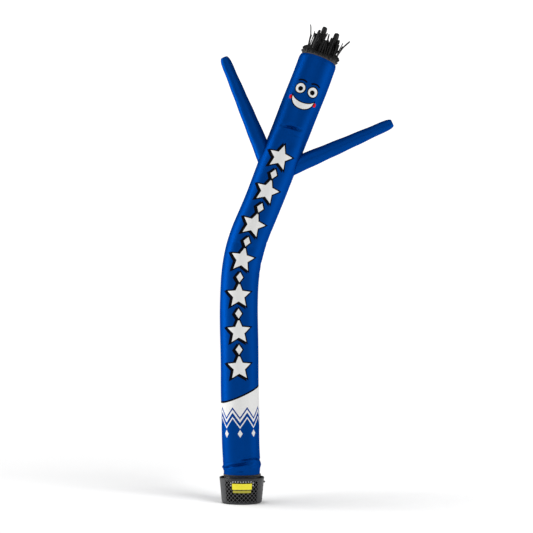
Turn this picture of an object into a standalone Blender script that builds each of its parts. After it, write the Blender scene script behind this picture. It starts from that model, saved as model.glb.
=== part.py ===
"""Inflatable air dancer, standing on its round blower.

A tall cloth tube is strapped round the outlet collar of a perforated blower tub.  Two
tapered cloth sleeves are sewn over holes in its sides, and a puckered crown of cut cloth
strips is sewn into its open top.  Every cloth piece is a thin hollow skin.

Metres, +Z up.  The origin is the middle of the tub's underside.  The front faces -Y and
the dancer leans towards +X.  A turn is an angle round a tube, 0 at its front and a
quarter turn at its right.
"""

import math
import random
from collections import namedtuple

import bmesh
import bpy
from mathutils import Matrix, Vector

# Driving sizes
CLOTH = 0.002  # thickness of every cloth skin
FIT_GAP = 0.0003  # clearance between pieces that touch
TUBE_SIDES = 24

# Blower: a tapered tub, about 12 inches high and wider at the top
TUB_FOOT_RADIUS = 0.2400
TUB_TOP_RADIUS = 0.2655
TUB_HEIGHT = 0.294
TUB_WALL = 0.004
TUB_FLOOR = 0.006
TUB_CORNER = 0.026
TUB_SIDES = 40
SCREEN_ROWS = 6
SCREEN_FOOT = 0.030  # height of the perforated band's lower edge
SCREEN_TOP = 0.264
SCREEN_HALF_COLUMNS = 5  # columns each side of the middle of the front and back screens
HOLE_SHARE = 0.36  # half a hole's width, as a share of its cell
RIM_RADIUS = 0.0055
RIM_INSET = 0.0045  # from the tub's side to the middle of the rim
DECK_HEIGHT = 0.273
DECK_THICK = 0.003
DECK_HOLE_RADIUS = 0.185
CASING_RADIUS = 0.192
COLLAR_OUTER = 0.2120
COLLAR_WALL = 0.003
COLLAR_TOP = 0.366
GLAND_RADIUS = 0.013
GLAND_LENGTH = 0.016
GLAND_HEIGHT = 0.248
LABEL_THICK = 0.002
LABEL_FOOT, LABEL_TOP, LABEL_HALF_COLUMNS = 0.1765, 0.2505, 2.95  # columns of the tub's sides
STRIP_FOOT, STRIP_TOP, STRIP_HALF_COLUMNS = 0.1405, 0.1695, 2.75

# Foot of the dancer
HEM_HEIGHT = 0.316
CUFF_RADIUS = COLLAR_OUTER + FIT_GAP + CLOTH
STRAP_FOOT, STRAP_TOP = 0.319, 0.344
STRAP_THICK = 0.002
BUCKLE_SIZE = Vector((0.010, 0.034, 0.022))  # out from the strap, along it, and up

# The tube's centre line: each stretch's length, the lean to the right and to the back that
# it ends at, in degrees, and the number of rings that it is made of
Stretch = namedtuple("Stretch", "length lean_right lean_back rings")
CENTRE_LINE = (
    Stretch(0.035, 0.0, 0.0, 1),
    Stretch(0.265, -3.2, 0.0, 13),
    Stretch(0.300, -0.7, 0.0, 1),
    Stretch(1.300, -0.8, 0.0, 4),
    Stretch(0.400, 3.3, 0.5, 4),
    Stretch(0.680, 22.9, 2.5, 11),
    Stretch(0.470, 21.7, 4.0, 3),
    Stretch(0.500, 20.3, 5.5, 3),
    Stretch(0.200, 22.2, 6.1, 3),
    Stretch(0.120, 21.8, 6.4, 6),
    Stretch(0.810, 20.5, 7.0, 3),
    Stretch(0.073, 20.5, 7.0, 3),
)
TUBE_LENGTH = sum(stretch.length for stretch in CENTRE_LINE)
STEP = 0.005  # length of one step along the centre line

# The tube's radius at these distances from its lower hem; on average it is the standard
# 18 inches across
TUBE_PROFILE = (
    (0.000, CUFF_RADIUS),
    (0.035, CUFF_RADIUS),
    (0.062, 0.2170),
    (0.105, 0.2232),
    (0.500, 0.2238),
    (1.100, 0.2265),
    (2.200, 0.2262),
    (2.700, 0.2290),
    (3.300, 0.2270),
    (3.700, 0.2285),
    (4.300, 0.2325),
    (TUBE_LENGTH - 0.040, 0.2325),
    (TUBE_LENGTH - 0.016, 0.2300),
    (TUBE_LENGTH, 0.2220),
)
CROWN_EDGE_RADIUS = TUBE_PROFILE[-1][1] - CLOTH

# Folds pressed into the tube: where the trough's middle is, its half width along the tube,
# its half length round it, how far it climbs for each radian of turn, and its depth
Fold = namedtuple("Fold", "along turn half_width half_turn climb depth")
CHIN_BELOW_TOP = 0.940
FOLDS = (
    Fold(0.148, -5, 0.026, 100, 0.033, 0.013),
    Fold(0.232, 25, 0.022, 58, 0.012, 0.008),
    Fold(0.190, 84, 0.018, 26, 0.030, 0.007),
    Fold(0.066, -8, 0.015, 42, 0.0, 0.004),
    Fold(0.180, 168, 0.026, 62, 0.040, 0.011),
    Fold(0.105, 140, 0.020, 45, -0.045, 0.006),
    Fold(2.720, -3, 0.055, 44, 0.020, 0.006),
    Fold(2.560, 112, 0.050, 50, -0.020, 0.006),
    Fold(TUBE_LENGTH - CHIN_BELOW_TOP, -2, 0.024, 34, 0.028, 0.010),
    Fold(TUBE_LENGTH - 1.090, 0, 0.085, 50, 0.0, 0.008),
)

# Arms
ARM_SIDES = 16
ARM_BELOW_TOP = 1.266  # from the middle of an arm's root to the tube's top, along the tube
ARM_LENGTH = 1.215
ARM_PROFILE = (  # share of the arm's length, and radius
    (-0.20, 0.1060),
    (0.00, 0.0995),
    (0.10, 0.0953),
    (0.40, 0.0835),
    (0.70, 0.0710),
    (0.80, 0.0665),
    (0.90, 0.0640),
    (0.95, 0.0610),
    (0.982, 0.0530),
    (1.00, 0.0380),
)
ARM_RINGS = (0.16, 0.25, 0.36, 0.48, 0.60, 0.72, 0.82, 0.90, 0.950, 0.970, 0.988, 1.00)
ARM_HOLE_INSET = 0.014  # seam allowance between an arm's wall and the hole that feeds it
ARM_GAP = 0.0004  # clearance between an arm's root and the tube's skin
Arm = namedtuple("Arm", "side spread forward")
ARMS = {  # angle from the tube above it, and turn to the front at the tip, in degrees
    "arm_left": Arm(-1, 42.7, -2.0),
    "arm_right": Arm(1, 46.2, 11.0),
}

# Crown of strips: outer radius and height above the tube's top edge, seam to vent
CROWN_PROFILE = (
    (CROWN_EDGE_RADIUS - 0.0005, -0.012),
    (CROWN_EDGE_RADIUS - 0.0005, 0.004),
    (0.200, 0.024),
    (0.214, 0.046),
    (0.239, 0.066),
    (0.232, 0.092),
    (0.198, 0.112),
    (0.164, 0.124),
    (0.132, 0.134),
    (0.100, 0.142),
    (0.068, 0.147),
)
PUCKERS = (0.0, 0.0, 0.003, 0.006, 0.008, 0.007, 0.004, 0.002, 0.001, 0.001, 0.0)
CROWN_CLOTH = 0.003
STRIPS_EVERY = {6: 0, 7: 1, 8: 2, 9: 2}  # row of the profile: one strip in this many cells
# Place round the crown of each stray strip: its tip's height, and how far it falls outwards
STRAYS = {5: (0.350, 0.080), 6: (0.300, 0.020), 17: (0.345, -0.020), 18: (0.380, 0.055)}
# Height of the strips' tips above the tube's top, by distance to the right of the middle
TUFT_HEIGHTS = (
    (-0.180, 0.300),
    (-0.145, 0.330),
    (-0.110, 0.355),
    (-0.085, 0.375),
    (-0.078, 0.402),
    (-0.030, 0.405),
    (-0.020, 0.335),
    (0.020, 0.295),
    (0.045, 0.250),
    (0.062, 0.310),
    (0.078, 0.378),
    (0.130, 0.370),
    (0.140, 0.335),
    (0.180, 0.305),
)
STRIP_THICK = 0.003
STRIP_STEPS = (0.12, 0.55, 1.0)  # shares of a strip's height
SEED = 11


def between(table, x):
    """The value at x in a table of (x, value) rows, straight between the rows."""
    for (x0, y0), (x1, y1) in zip(table, table[1:]):
        if x <= x1:
            return y0 + (y1 - y0) * max(0.0, (x - x0) / (x1 - x0))
    return table[-1][1]


def make_material(name, colour, roughness, metallic=0.0):
    material = bpy.data.materials.new(name)
    material.use_nodes = True
    shader = material.node_tree.nodes["Principled BSDF"]
    shader.inputs["Base Color"].default_value = (*colour, 1.0)
    shader.inputs["Roughness"].default_value = roughness
    shader.inputs["Metallic"].default_value = metallic
    return material


def add_solid(name, points, faces, material, crease=35.0):
    """A closed solid from points and faces, with its faces turned outwards."""
    mesh = bpy.data.meshes.new(name)
    mesh.from_pydata([tuple(p) for p in points], [], faces)
    work = bmesh.new()
    work.from_mesh(mesh)
    bmesh.ops.recalc_face_normals(work, faces=work.faces)
    work.to_mesh(mesh)
    work.free()
    mesh.shade_smooth()
    mesh.set_sharp_from_angle(angle=math.radians(crease))
    mesh.materials.append(material)
    piece = bpy.data.objects.new(name, mesh)
    bpy.context.scene.collection.objects.link(piece)
    return piece


def add_cutter(name, points, faces, material):
    """A hidden solid that only cuts other pieces."""
    cutter = add_solid(name, points, faces, material)
    cutter.hide_render = True
    cutter.display_type = "WIRE"
    return cutter


def cut_with(piece, cutter):
    cut = piece.modifiers.new(cutter.name, "BOOLEAN")
    cut.operation = "DIFFERENCE"
    cut.solver = "EXACT"
    cut.object = cutter


def skin_of(outer, inner):
    """Points and faces of a hollow skin with open ends, from matching outer and inner rings."""
    sides = len(outer[0])
    points = [p for ring in (*outer, *inner) for p in ring]
    count = len(outer)
    faces = []
    for layer in range(2):
        for row in range(count - 1):
            start = (layer * count + row) * sides
            faces += ring_of_faces(start, start + sides, sides)
    for row in (0, count - 1):
        faces += ring_of_faces(row * sides, (count + row) * sides, sides)
    return points, faces


def ring_of_faces(low, high, sides):
    """Four-sided faces between two rings of points, each starting at the given number."""
    return [
        (low + k, low + (k + 1) % sides, high + (k + 1) % sides, high + k)
        for k in range(sides)
    ]


def turned(profile, sides):
    """Points and faces of a ring turned round +Z from a closed profile of (radius, height)."""
    points = [
        (radius * math.sin(math.tau * k / sides), -radius * math.cos(math.tau * k / sides), height)
        for radius, height in profile
        for k in range(sides)
    ]
    faces = []
    for row in range(len(profile)):
        faces += ring_of_faces(row * sides, (row + 1) % len(profile) * sides, sides)
    return points, faces


# The dancer's tube


def centre_line():
    """Points and directions every STEP along the tube, from its lower hem."""
    point = Vector((0.0, 0.0, HEM_HEIGHT))
    right_lean = back_lean = 0.0
    line = [(0.0, point.copy(), right_lean, back_lean)]
    travelled = 0.0
    for stretch in CENTRE_LINE:
        steps = round(stretch.length / STEP)
        right_start, back_start = right_lean, back_lean
        for step in range(steps):
            share = (step + 0.5) / steps
            right_lean = right_start + (math.radians(stretch.lean_right) - right_start) * share
            back_lean = back_start + (math.radians(stretch.lean_back) - back_start) * share
            point = point + direction(right_lean, back_lean) * (stretch.length / steps)
            travelled += stretch.length / steps
            line.append((travelled, point.copy(), right_lean, back_lean))
        right_lean, back_lean = math.radians(stretch.lean_right), math.radians(stretch.lean_back)
    return line


def direction(right_lean, back_lean):
    return Vector(
        (
            math.sin(right_lean) * math.cos(back_lean),
            math.sin(back_lean),
            math.cos(right_lean) * math.cos(back_lean),
        )
    )


LINE = centre_line()


def frame_at(along):
    """The centre line's point, and the right, back and upward directions there."""
    place = min(max(along, 0.0), TUBE_LENGTH) / STEP
    low = min(int(place), len(LINE) - 2)
    share = place - low
    _, point0, right0, back0 = LINE[low]
    _, point1, right1, back1 = LINE[low + 1]
    right_lean = right0 + (right1 - right0) * share
    up = direction(right_lean, back0 + (back1 - back0) * share)
    right = Vector((math.cos(right_lean), 0.0, -math.sin(right_lean)))
    return point0.lerp(point1, share), right, up.cross(right), up


def fold_depth(along, turn):
    """How far the folds press the tube's skin inwards, with a soft ridge beside each trough."""
    depth = 0.0
    for fold in FOLDS:
        around = (turn - math.radians(fold.turn) + math.pi) % math.tau - math.pi
        reach = abs(around) / math.radians(fold.half_turn)
        if reach >= 1.0:
            continue
        across = (along - fold.along - fold.climb * around) / fold.half_width
        trough = (1.0 - 0.9 * across * across) * math.exp(-across * across)
        depth += fold.depth * trough * math.cos(reach * math.pi / 2) ** 2
    return depth


def tube_ring(along, inset):
    """One ring of the tube's skin."""
    point, right, back, _ = frame_at(along)
    ring = []
    for k in range(TUBE_SIDES):
        turn = math.tau * k / TUBE_SIDES
        radius = between(TUBE_PROFILE, along) - fold_depth(along, turn) - inset
        ring.append(point + (right * math.sin(turn) - back * math.cos(turn)) * radius)
    return ring


def ring_places():
    """Distances along the tube of its rings."""
    places = [0.0]
    for stretch in CENTRE_LINE:
        start = places[-1]
        places += [start + stretch.length * (k + 1) / stretch.rings for k in range(stretch.rings)]
    return places


def make_tube(material):
    places = ring_places()
    outer = [tube_ring(along, 0.0) for along in places]
    inner = [tube_ring(along, CLOTH) for along in places]
    tube = add_solid("body_tube", *skin_of(outer, inner), material)
    for name, arm in ARMS.items():
        cut_with(tube, make_arm_hole(f"{name}_hole", arm, material))


# The arms


def arm_axis(arm, share):
    """A point on an arm's middle line, and two directions across it; share 0 is at the tube."""
    root = TUBE_LENGTH - ARM_BELOW_TOP
    centre, right, back, up = frame_at(root)
    out = right * arm.side
    spread, turn = math.radians(arm.spread), math.radians(arm.forward) * max(share, 0.0)
    outwards = up * math.cos(spread) + out * math.sin(spread)
    start = centre + out * between(TUBE_PROFILE, root)
    point = start + (outwards - back * turn / 2) * (ARM_LENGTH * share)
    across = (outwards - back * turn).cross(back).normalized()
    return point, across, across.cross((outwards - back * turn).normalized())


def arm_point(arm, share, turn, inset):
    point, across, front = arm_axis(arm, share)
    radius = between(ARM_PROFILE, share) - inset
    return point + (across * math.sin(turn) + front * math.cos(turn)) * radius


def arm_ring(arm, share, inset):
    return [arm_point(arm, share, math.tau * k / ARM_SIDES, inset) for k in range(ARM_SIDES)]


def make_arm(name, arm, tube_room, material):
    """A sleeve that starts inside the tube and is cut back to sit on the tube's skin."""
    shares = (ARM_PROFILE[0][0], *ARM_RINGS)
    outer = [arm_ring(arm, share, 0.0) for share in shares]
    inner = [arm_ring(arm, share, CLOTH) for share in shares]
    cut_with(add_solid(name, *skin_of(outer, inner), material), tube_room)


def make_tube_room(material):
    """The hidden cutter that keeps the arms out of the tube."""
    places = [along for along in ring_places() if 3.2 < along < TUBE_LENGTH - 0.2]
    rings = [tube_ring(along, -ARM_GAP) for along in places]
    faces = []
    for row in range(len(rings) - 1):
        faces += ring_of_faces(row * TUBE_SIDES, (row + 1) * TUBE_SIDES, TUBE_SIDES)
    last = (len(rings) - 1) * TUBE_SIDES
    faces += [tuple(range(TUBE_SIDES)), tuple(range(last, last + TUBE_SIDES))]
    return add_cutter("tube_room", [p for ring in rings for p in ring], faces, material)


def make_arm_hole(name, arm, material):
    """The hidden cutter of the hole through which the tube feeds an arm with air."""
    ends = [arm_ring(arm, share, ARM_HOLE_INSET) for share in (-0.17, 0.17)]
    faces = ring_of_faces(0, ARM_SIDES, ARM_SIDES)
    faces += [tuple(range(ARM_SIDES)), tuple(range(ARM_SIDES, 2 * ARM_SIDES))]
    return add_cutter(name, [*ends[0], *ends[1]], faces, material)


# The crown of strips


def crown_point(radius, height, turn):
    top, right, back, up = frame_at(TUBE_LENGTH)
    return top + (right * math.sin(turn) - back * math.cos(turn)) * radius + up * height


def crown_ring(row, inset):
    """One ring of the crown's puckered cloth; every second corner is drawn in."""
    radius, height = CROWN_PROFILE[row]
    ring = []
    for k in range(TUBE_SIDES):
        pucker = PUCKERS[row] * (1 if k % 2 else -1)
        flat = row >= min(STRIPS_EVERY)
        across, down = (0.0, inset) if flat else (inset, 0.0)
        turn = math.tau * k / TUBE_SIDES
        ring.append(crown_point(radius + pucker - across, height - down, turn))
    return ring


def strip_rings(row, k, draw):
    """Rings of four corners up one strip, which grows from a cell of the crown's cloth."""
    (radius0, height0), (radius1, height1) = CROWN_PROFILE[row], CROWN_PROFILE[row + 1]
    radius, foot = (radius0 + radius1) / 2, (height0 + height1) / 2
    turn = math.tau * (k + 0.5) / TUBE_SIDES
    tip, lean = between(TUFT_HEIGHTS, radius * math.sin(turn)) * draw.uniform(0.90, 1.0), 0.0
    sway, twist = draw.uniform(-0.006, 0.006), draw.uniform(-0.35, 0.35)
    width = math.tau * radius / TUBE_SIDES * 0.94
    if row == min(STRIPS_EVERY):
        tip, lean = STRAYS[k]
        width = 0.012
    up = frame_at(TUBE_LENGTH)[3]
    rings = []
    for share in STRIP_STEPS:
        height = foot + (tip - foot) * share
        outwards = crown_point(1.0, height, turn) - crown_point(0.0, height, turn)
        sideways = up.cross(outwards)
        middle = crown_point(radius, height, turn)
        middle = middle + outwards * lean * share + sideways * sway * share * share
        turned_by = twist * share
        flat = sideways * math.cos(turned_by) + outwards * math.sin(turned_by)
        thin = outwards * math.cos(turned_by) - sideways * math.sin(turned_by)
        half_width, half_thick = width / 2 * (1.0 - 0.12 * share), STRIP_THICK / 2
        rings.append(
            [
                middle + flat * a * half_width + thin * b * half_thick
                for a, b in ((-1, 1), (1, 1), (1, -1), (-1, -1))
            ]
        )
    return rings


def strip_cells():
    """The cells of the crown's cloth that a strip grows from: the row, and the place round it."""
    cells = [(min(STRIPS_EVERY), k) for k in STRAYS]
    for row, every in STRIPS_EVERY.items():
        if every:
            cells += [(row, k) for k in range(row % every, TUBE_SIDES, every)]
    return cells


def make_crown(material):
    rows = len(CROWN_PROFILE)
    outer = [crown_ring(row, 0.0) for row in range(rows)]
    inner = [crown_ring(row, CROWN_CLOTH) for row in range(rows)]
    points, faces = skin_of(outer, inner)
    draw = random.Random(SEED)
    for row, k in strip_cells():
        low, high = row * TUBE_SIDES, (row + 1) * TUBE_SIDES
        following = (k + 1) % TUBE_SIDES
        corners = (low + k, low + following, high + following, high + k)
        faces.remove(corners)
        for ring in strip_rings(row, k, draw):
            start = len(points)
            points += ring
            added = tuple(range(start, start + 4))
            faces += [
                (corners[c], corners[(c + 1) % 4], added[(c + 1) % 4], added[c])
                for c in range(4)
            ]
            corners = added
        faces.append(corners)
    add_solid("hair_crown", points, faces, material)


# The blower


def tub_radius(height):
    """Outer radius of the tub's straight wall."""
    share = (height - TUB_CORNER) / (TUB_HEIGHT - TUB_CORNER)
    return TUB_FOOT_RADIUS + (TUB_TOP_RADIUS - TUB_FOOT_RADIUS) * share


def tub_point(radius, height, column):
    turn = math.tau * column / TUB_SIDES
    return (radius * math.sin(turn), -radius * math.cos(turn), height)


def in_screen(column):
    """Whether a column of cells lies in the front or the back screen."""
    half = TUB_SIDES // 2
    middle = column + 0.5
    nearest = min(abs(middle - centre) for centre in (0, half, TUB_SIDES))
    return nearest < SCREEN_HALF_COLUMNS


def make_tub(material):
    """The tub: a turned shell with a flat floor, and a diamond hole in each cell of its screens."""
    corner = [
        (
            TUB_FOOT_RADIUS - TUB_CORNER * (1 - math.sin(a)),
            TUB_CORNER * (1 - math.cos(a)),
        )
        for a in (0.0, math.pi / 6, math.pi / 3)
    ]
    screen = [
        SCREEN_FOOT + (SCREEN_TOP - SCREEN_FOOT) * row / SCREEN_ROWS
        for row in range(SCREEN_ROWS + 1)
    ]
    outside = corner + [(tub_radius(z), z) for z in (TUB_CORNER, *screen, TUB_HEIGHT)]
    inside = [(tub_radius(z) - TUB_WALL, z) for z in (TUB_HEIGHT, *reversed(screen))]
    floor_radius = TUB_FOOT_RADIUS - TUB_CORNER
    inside += [
        (tub_radius(TUB_CORNER) - TUB_WALL, TUB_CORNER),
        (floor_radius + 0.004, TUB_FLOOR),
    ]
    profile = outside + inside
    points = [tub_point(r, z, k) for r, z in profile for k in range(TUB_SIDES)]
    faces = []
    first_screen = len(corner) + 1
    inner_top = len(outside) + 1
    for row in range(len(profile) - 1):
        outer_cell = first_screen <= row < first_screen + SCREEN_ROWS
        inner_cell = inner_top <= row < inner_top + SCREEN_ROWS
        for k, face in enumerate(ring_of_faces(row * TUB_SIDES, (row + 1) * TUB_SIDES, TUB_SIDES)):
            if not ((outer_cell or inner_cell) and in_screen(k)):
                faces.append(face)
    underside, floor = len(points), len(points) + 1
    points += [(0.0, 0.0, 0.0), (0.0, 0.0, TUB_FLOOR)]
    last = (len(profile) - 1) * TUB_SIDES
    for k in range(TUB_SIDES):
        following = (k + 1) % TUB_SIDES
        faces.append((underside, following, k))
        faces.append((floor, last + k, last + following))
    for row in range(SCREEN_ROWS):
        for k in filter(in_screen, range(TUB_SIDES)):
            low, high = first_screen + row, inner_top + SCREEN_ROWS - row
            add_hole(points, faces, screen[row], screen[row + 1], k, low, high)
    add_solid("blower_tub", points, faces, material)


def add_hole(points, faces, foot, top, column, outer_row, inner_row):
    """One diamond hole through the wall, between its cells' corners outside and inside."""
    middle, centre = (foot + top) / 2, column + 0.5
    half_height = (top - foot) * HOLE_SHARE
    start = len(points)
    for depth in (0.0, TUB_WALL):
        for across, up in ((0.0, -1.0), (1.0, 0.0), (0.0, 1.0), (-1.0, 0.0)):
            height = middle + up * half_height
            radius = (tub_radius(height) - depth) * math.cos(math.pi / TUB_SIDES)
            turn = math.tau * centre / TUB_SIDES
            side = across * HOLE_SHARE * math.tau * radius / TUB_SIDES
            points.append(
                (
                    radius * math.sin(turn) + side * math.cos(turn),
                    -radius * math.cos(turn) + side * math.sin(turn),
                    height,
                )
            )
    following = (column + 1) % TUB_SIDES
    for rows, hole in (((outer_row, outer_row + 1), start), ((inner_row, inner_row - 1), start + 4)):
        low, high = rows[0] * TUB_SIDES, rows[1] * TUB_SIDES
        corners = (low + column, low + following, high + following, high + column)
        for c in range(4):
            faces.append((corners[c], corners[(c + 1) % 4], hole + c))
            faces.append((corners[(c + 1) % 4], hole + (c + 1) % 4, hole + c))
    faces.extend(ring_of_faces(start, start + 4, 4))


def make_rim(material):
    """The rolled rim that lies on the tub's top edge."""
    centre = (TUB_TOP_RADIUS - RIM_INSET, TUB_HEIGHT + FIT_GAP + RIM_RADIUS)
    profile = [
        (
            centre[0] + RIM_RADIUS * math.cos(math.tau * (k + 0.5) / 6),
            centre[1] + RIM_RADIUS * math.sin(math.tau * (k + 0.5) / 6),
        )
        for k in range(6)
    ]
    add_solid("tub_rim", *turned(profile, TUB_SIDES), material)


def make_deck(material):
    """The flat ring that closes the tub's top, inside its wall."""
    outer = tub_radius(DECK_HEIGHT) - TUB_WALL - FIT_GAP
    top = DECK_HEIGHT + DECK_THICK
    inner = DECK_HOLE_RADIUS
    profile = [(inner, DECK_HEIGHT), (outer, DECK_HEIGHT), (outer, top), (inner, top)]
    add_solid("blower_deck", *turned(profile, TUB_SIDES), material)


def make_collar(material):
    """The outlet collar that the dancer's foot is pulled over."""
    foot, inner = DECK_HEIGHT + DECK_THICK + FIT_GAP, COLLAR_OUTER - COLLAR_WALL
    profile = [(inner, foot), (COLLAR_OUTER, foot), (COLLAR_OUTER, COLLAR_TOP), (inner, COLLAR_TOP)]
    add_solid("outlet_collar", *turned(profile, TUBE_SIDES), material)


def make_casing(material):
    """The plain dark fan casing that shows through the screens."""
    foot, top = TUB_FLOOR + FIT_GAP, DECK_HEIGHT - FIT_GAP
    ring = [(CASING_RADIUS, foot), (CASING_RADIUS, top)]
    points = [tub_point(r, z, k) for r, z in ring for k in range(TUB_SIDES)]
    faces = ring_of_faces(0, TUB_SIDES, TUB_SIDES)
    faces += [tuple(range(TUB_SIDES)), tuple(range(TUB_SIDES, 2 * TUB_SIDES))]
    add_solid("fan_casing", points, faces, material)


def make_gland(material):
    """The round power inlet on the tub's right side, square to its sloping wall."""
    slope = math.atan2(TUB_TOP_RADIUS - TUB_FOOT_RADIUS, TUB_HEIGHT - TUB_CORNER)
    sides = 12
    profile = ((1.0, 0.0), (1.0, 0.7), (0.75, 1.0))
    points = [
        (
            GLAND_LENGTH * out,
            GLAND_RADIUS * share * math.cos(math.tau * k / sides),
            GLAND_RADIUS * share * math.sin(math.tau * k / sides),
        )
        for share, out in profile
        for k in range(sides)
    ]
    faces = ring_of_faces(0, sides, sides) + ring_of_faces(sides, 2 * sides, sides)
    faces += [tuple(range(sides)), tuple(range(2 * sides, 3 * sides))]
    gland = add_solid("cable_gland", points, faces, material)
    gland.rotation_euler = (0.0, slope, 0.0)
    gland.location = (tub_radius(GLAND_HEIGHT) + FIT_GAP, 0.0, GLAND_HEIGHT)


def make_label(name, half_columns, foot, top, material):
    """A plain plate bent round the front of the tub, flat wherever the tub's side is flat."""
    whole = range(-int(half_columns), int(half_columns) + 1)
    rings = []
    for column in (-half_columns, *whole, half_columns):
        low = math.floor(column)
        ring = []
        for off, height in ((0.0, foot), (LABEL_THICK, foot), (LABEL_THICK, top), (0.0, top)):
            radius = tub_radius(height) + FIT_GAP + off
            corner0, corner1 = (Vector(tub_point(radius, height, c)) for c in (low, low + 1))
            ring.append(corner0.lerp(corner1, column - low))
        rings.append(ring)
    points = [p for ring in rings for p in ring]
    faces = []
    for row in range(len(rings) - 1):
        faces += ring_of_faces(row * 4, (row + 1) * 4, 4)
    faces += [(0, 1, 2, 3), tuple(range(len(points) - 4, len(points)))]
    add_solid(name, points, faces, material)


# The strap


def make_strap(material):
    """The webbing strap that cinches the dancer's foot onto the collar."""
    inner = CUFF_RADIUS + FIT_GAP
    outer = inner + STRAP_THICK
    profile = [(inner, STRAP_FOOT), (outer, STRAP_FOOT), (outer, STRAP_TOP), (inner, STRAP_TOP)]
    add_solid("cuff_strap", *turned(profile, TUBE_SIDES), material)


def make_buckle(material):
    """The strap's buckle, at the right of the foot."""
    inner = CUFF_RADIUS + STRAP_THICK + 2 * FIT_GAP
    work = bmesh.new()
    bmesh.ops.create_cube(work, size=1.0, matrix=Matrix.Diagonal((*BUCKLE_SIZE, 1.0)))
    bmesh.ops.bevel(
        work, geom=work.edges[:], offset=0.003, segments=2, profile=0.5, affect="EDGES"
    )
    mesh = bpy.data.meshes.new("strap_buckle")
    work.to_mesh(mesh)
    work.free()
    mesh.materials.append(material)
    buckle = bpy.data.objects.new("strap_buckle", mesh)
    buckle.location = (inner + BUCKLE_SIZE.x / 2, 0.0, (STRAP_FOOT + STRAP_TOP) / 2)
    bpy.context.scene.collection.objects.link(buckle)


def main():
    for old in list(bpy.data.objects):
        bpy.data.objects.remove(old, do_unlink=True)
    blue = make_material("blue nylon", (0.004, 0.095, 0.42), 0.55)
    black = make_material("black nylon", (0.012, 0.012, 0.014), 0.70)
    webbing = make_material("grey webbing", (0.10, 0.095, 0.09), 0.75)
    steel = make_material("dark grey steel", (0.075, 0.075, 0.085), 0.45, 0.6)
    dark = make_material("black plastic", (0.012, 0.012, 0.013), 0.5)
    yellow = make_material("yellow plate", (0.95, 0.83, 0.02), 0.4)
    make_tube(blue)
    tube_room = make_tube_room(blue)
    for name, arm in ARMS.items():
        make_arm(name, arm, tube_room, blue)
    make_crown(black)
    make_strap(webbing)
    make_buckle(dark)
    make_tub(steel)
    make_rim(steel)
    make_deck(dark)
    make_collar(steel)
    make_casing(dark)
    make_gland(dark)
    make_label("label_plate", LABEL_HALF_COLUMNS, LABEL_FOOT, LABEL_TOP, yellow)
    make_label("label_strip", STRIP_HALF_COLUMNS, STRIP_FOOT, STRIP_TOP, yellow)


main()
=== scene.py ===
"""The looks of the inflatable air dancer and its round blower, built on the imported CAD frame.

Metres, +Z up.  The front faces -Y and the dancer leans towards +X.  A turn is an angle
round a tube, 0 at its front and a quarter turn at its right; "along" is the distance from
the tube's lower hem.
"""

import math
import random
from collections import namedtuple

import bmesh
import bpy
import numpy as np
from mathutils import Matrix, Vector


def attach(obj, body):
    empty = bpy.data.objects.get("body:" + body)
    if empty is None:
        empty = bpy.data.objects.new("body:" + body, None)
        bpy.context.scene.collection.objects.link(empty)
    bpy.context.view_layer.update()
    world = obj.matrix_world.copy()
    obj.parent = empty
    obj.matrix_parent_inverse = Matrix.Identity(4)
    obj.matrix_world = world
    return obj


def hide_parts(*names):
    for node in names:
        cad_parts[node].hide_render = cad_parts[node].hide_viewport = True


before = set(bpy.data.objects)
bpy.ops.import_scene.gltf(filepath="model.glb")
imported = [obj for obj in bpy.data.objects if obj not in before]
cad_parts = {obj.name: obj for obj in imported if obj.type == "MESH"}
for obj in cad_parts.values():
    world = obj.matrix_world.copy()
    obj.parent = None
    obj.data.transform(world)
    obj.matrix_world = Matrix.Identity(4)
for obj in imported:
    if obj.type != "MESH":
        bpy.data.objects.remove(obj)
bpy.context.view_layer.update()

# The photograph's view
CAMERA_PLACE = (0.294, -22.0, 2.808)
CAMERA_LENS, SENSOR_WIDTH = 124.8, 36.0  # mm

# Cloth
CLOTH = 0.002
TUBE_COLUMNS, ARM_COLUMNS, ARM_ROWS = 160, 64, 120
# Distances between the tube's rows: plain, the finest in a fold, and near its ends
PLAIN_ROW, FINEST_ROW, END_ROW, END_REACH = 0.050, 0.0045, 0.008, 0.07
FOLD_ROW_SHARE = 0.33  # a row in a fold, as a share of the fold's half width
HEM_HEIGHT = 0.316
STEP = 0.005

# Each stretch of the tube's centre line: its length, and the lean to the right and to the
# back that it ends at, in degrees
CENTRE_LINE = (
    (0.035, 0.0, 0.0),
    (0.265, -3.2, 0.0),
    (0.300, -0.7, 0.0),
    (1.300, -0.8, 0.0),
    (0.400, 3.3, 0.5),
    (0.680, 22.9, 2.5),
    (0.470, 21.7, 4.0),
    (0.500, 20.3, 5.5),
    (0.200, 22.2, 6.1),
    (0.120, 21.8, 6.4),
    (0.810, 20.5, 7.0),
    (0.073, 20.5, 7.0),
)
TUBE_LENGTH = sum(stretch[0] for stretch in CENTRE_LINE)
CUFF_RADIUS = 0.2143
TUBE_PROFILE = (  # along, radius
    (0.000, CUFF_RADIUS),
    (0.035, CUFF_RADIUS),
    (0.062, 0.2170),
    (0.105, 0.2232),
    (0.500, 0.2238),
    (1.100, 0.2265),
    (2.200, 0.2262),
    (2.700, 0.2290),
    (3.300, 0.2270),
    (3.700, 0.2285),
    (4.300, 0.2325),
    (TUBE_LENGTH - 0.040, 0.2325),
    (TUBE_LENGTH - 0.016, 0.2300),
    (TUBE_LENGTH, 0.2220),
)
FLAT_RADIUS = 0.2285  # the radius of the tube as it is cut and sewn

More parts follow.
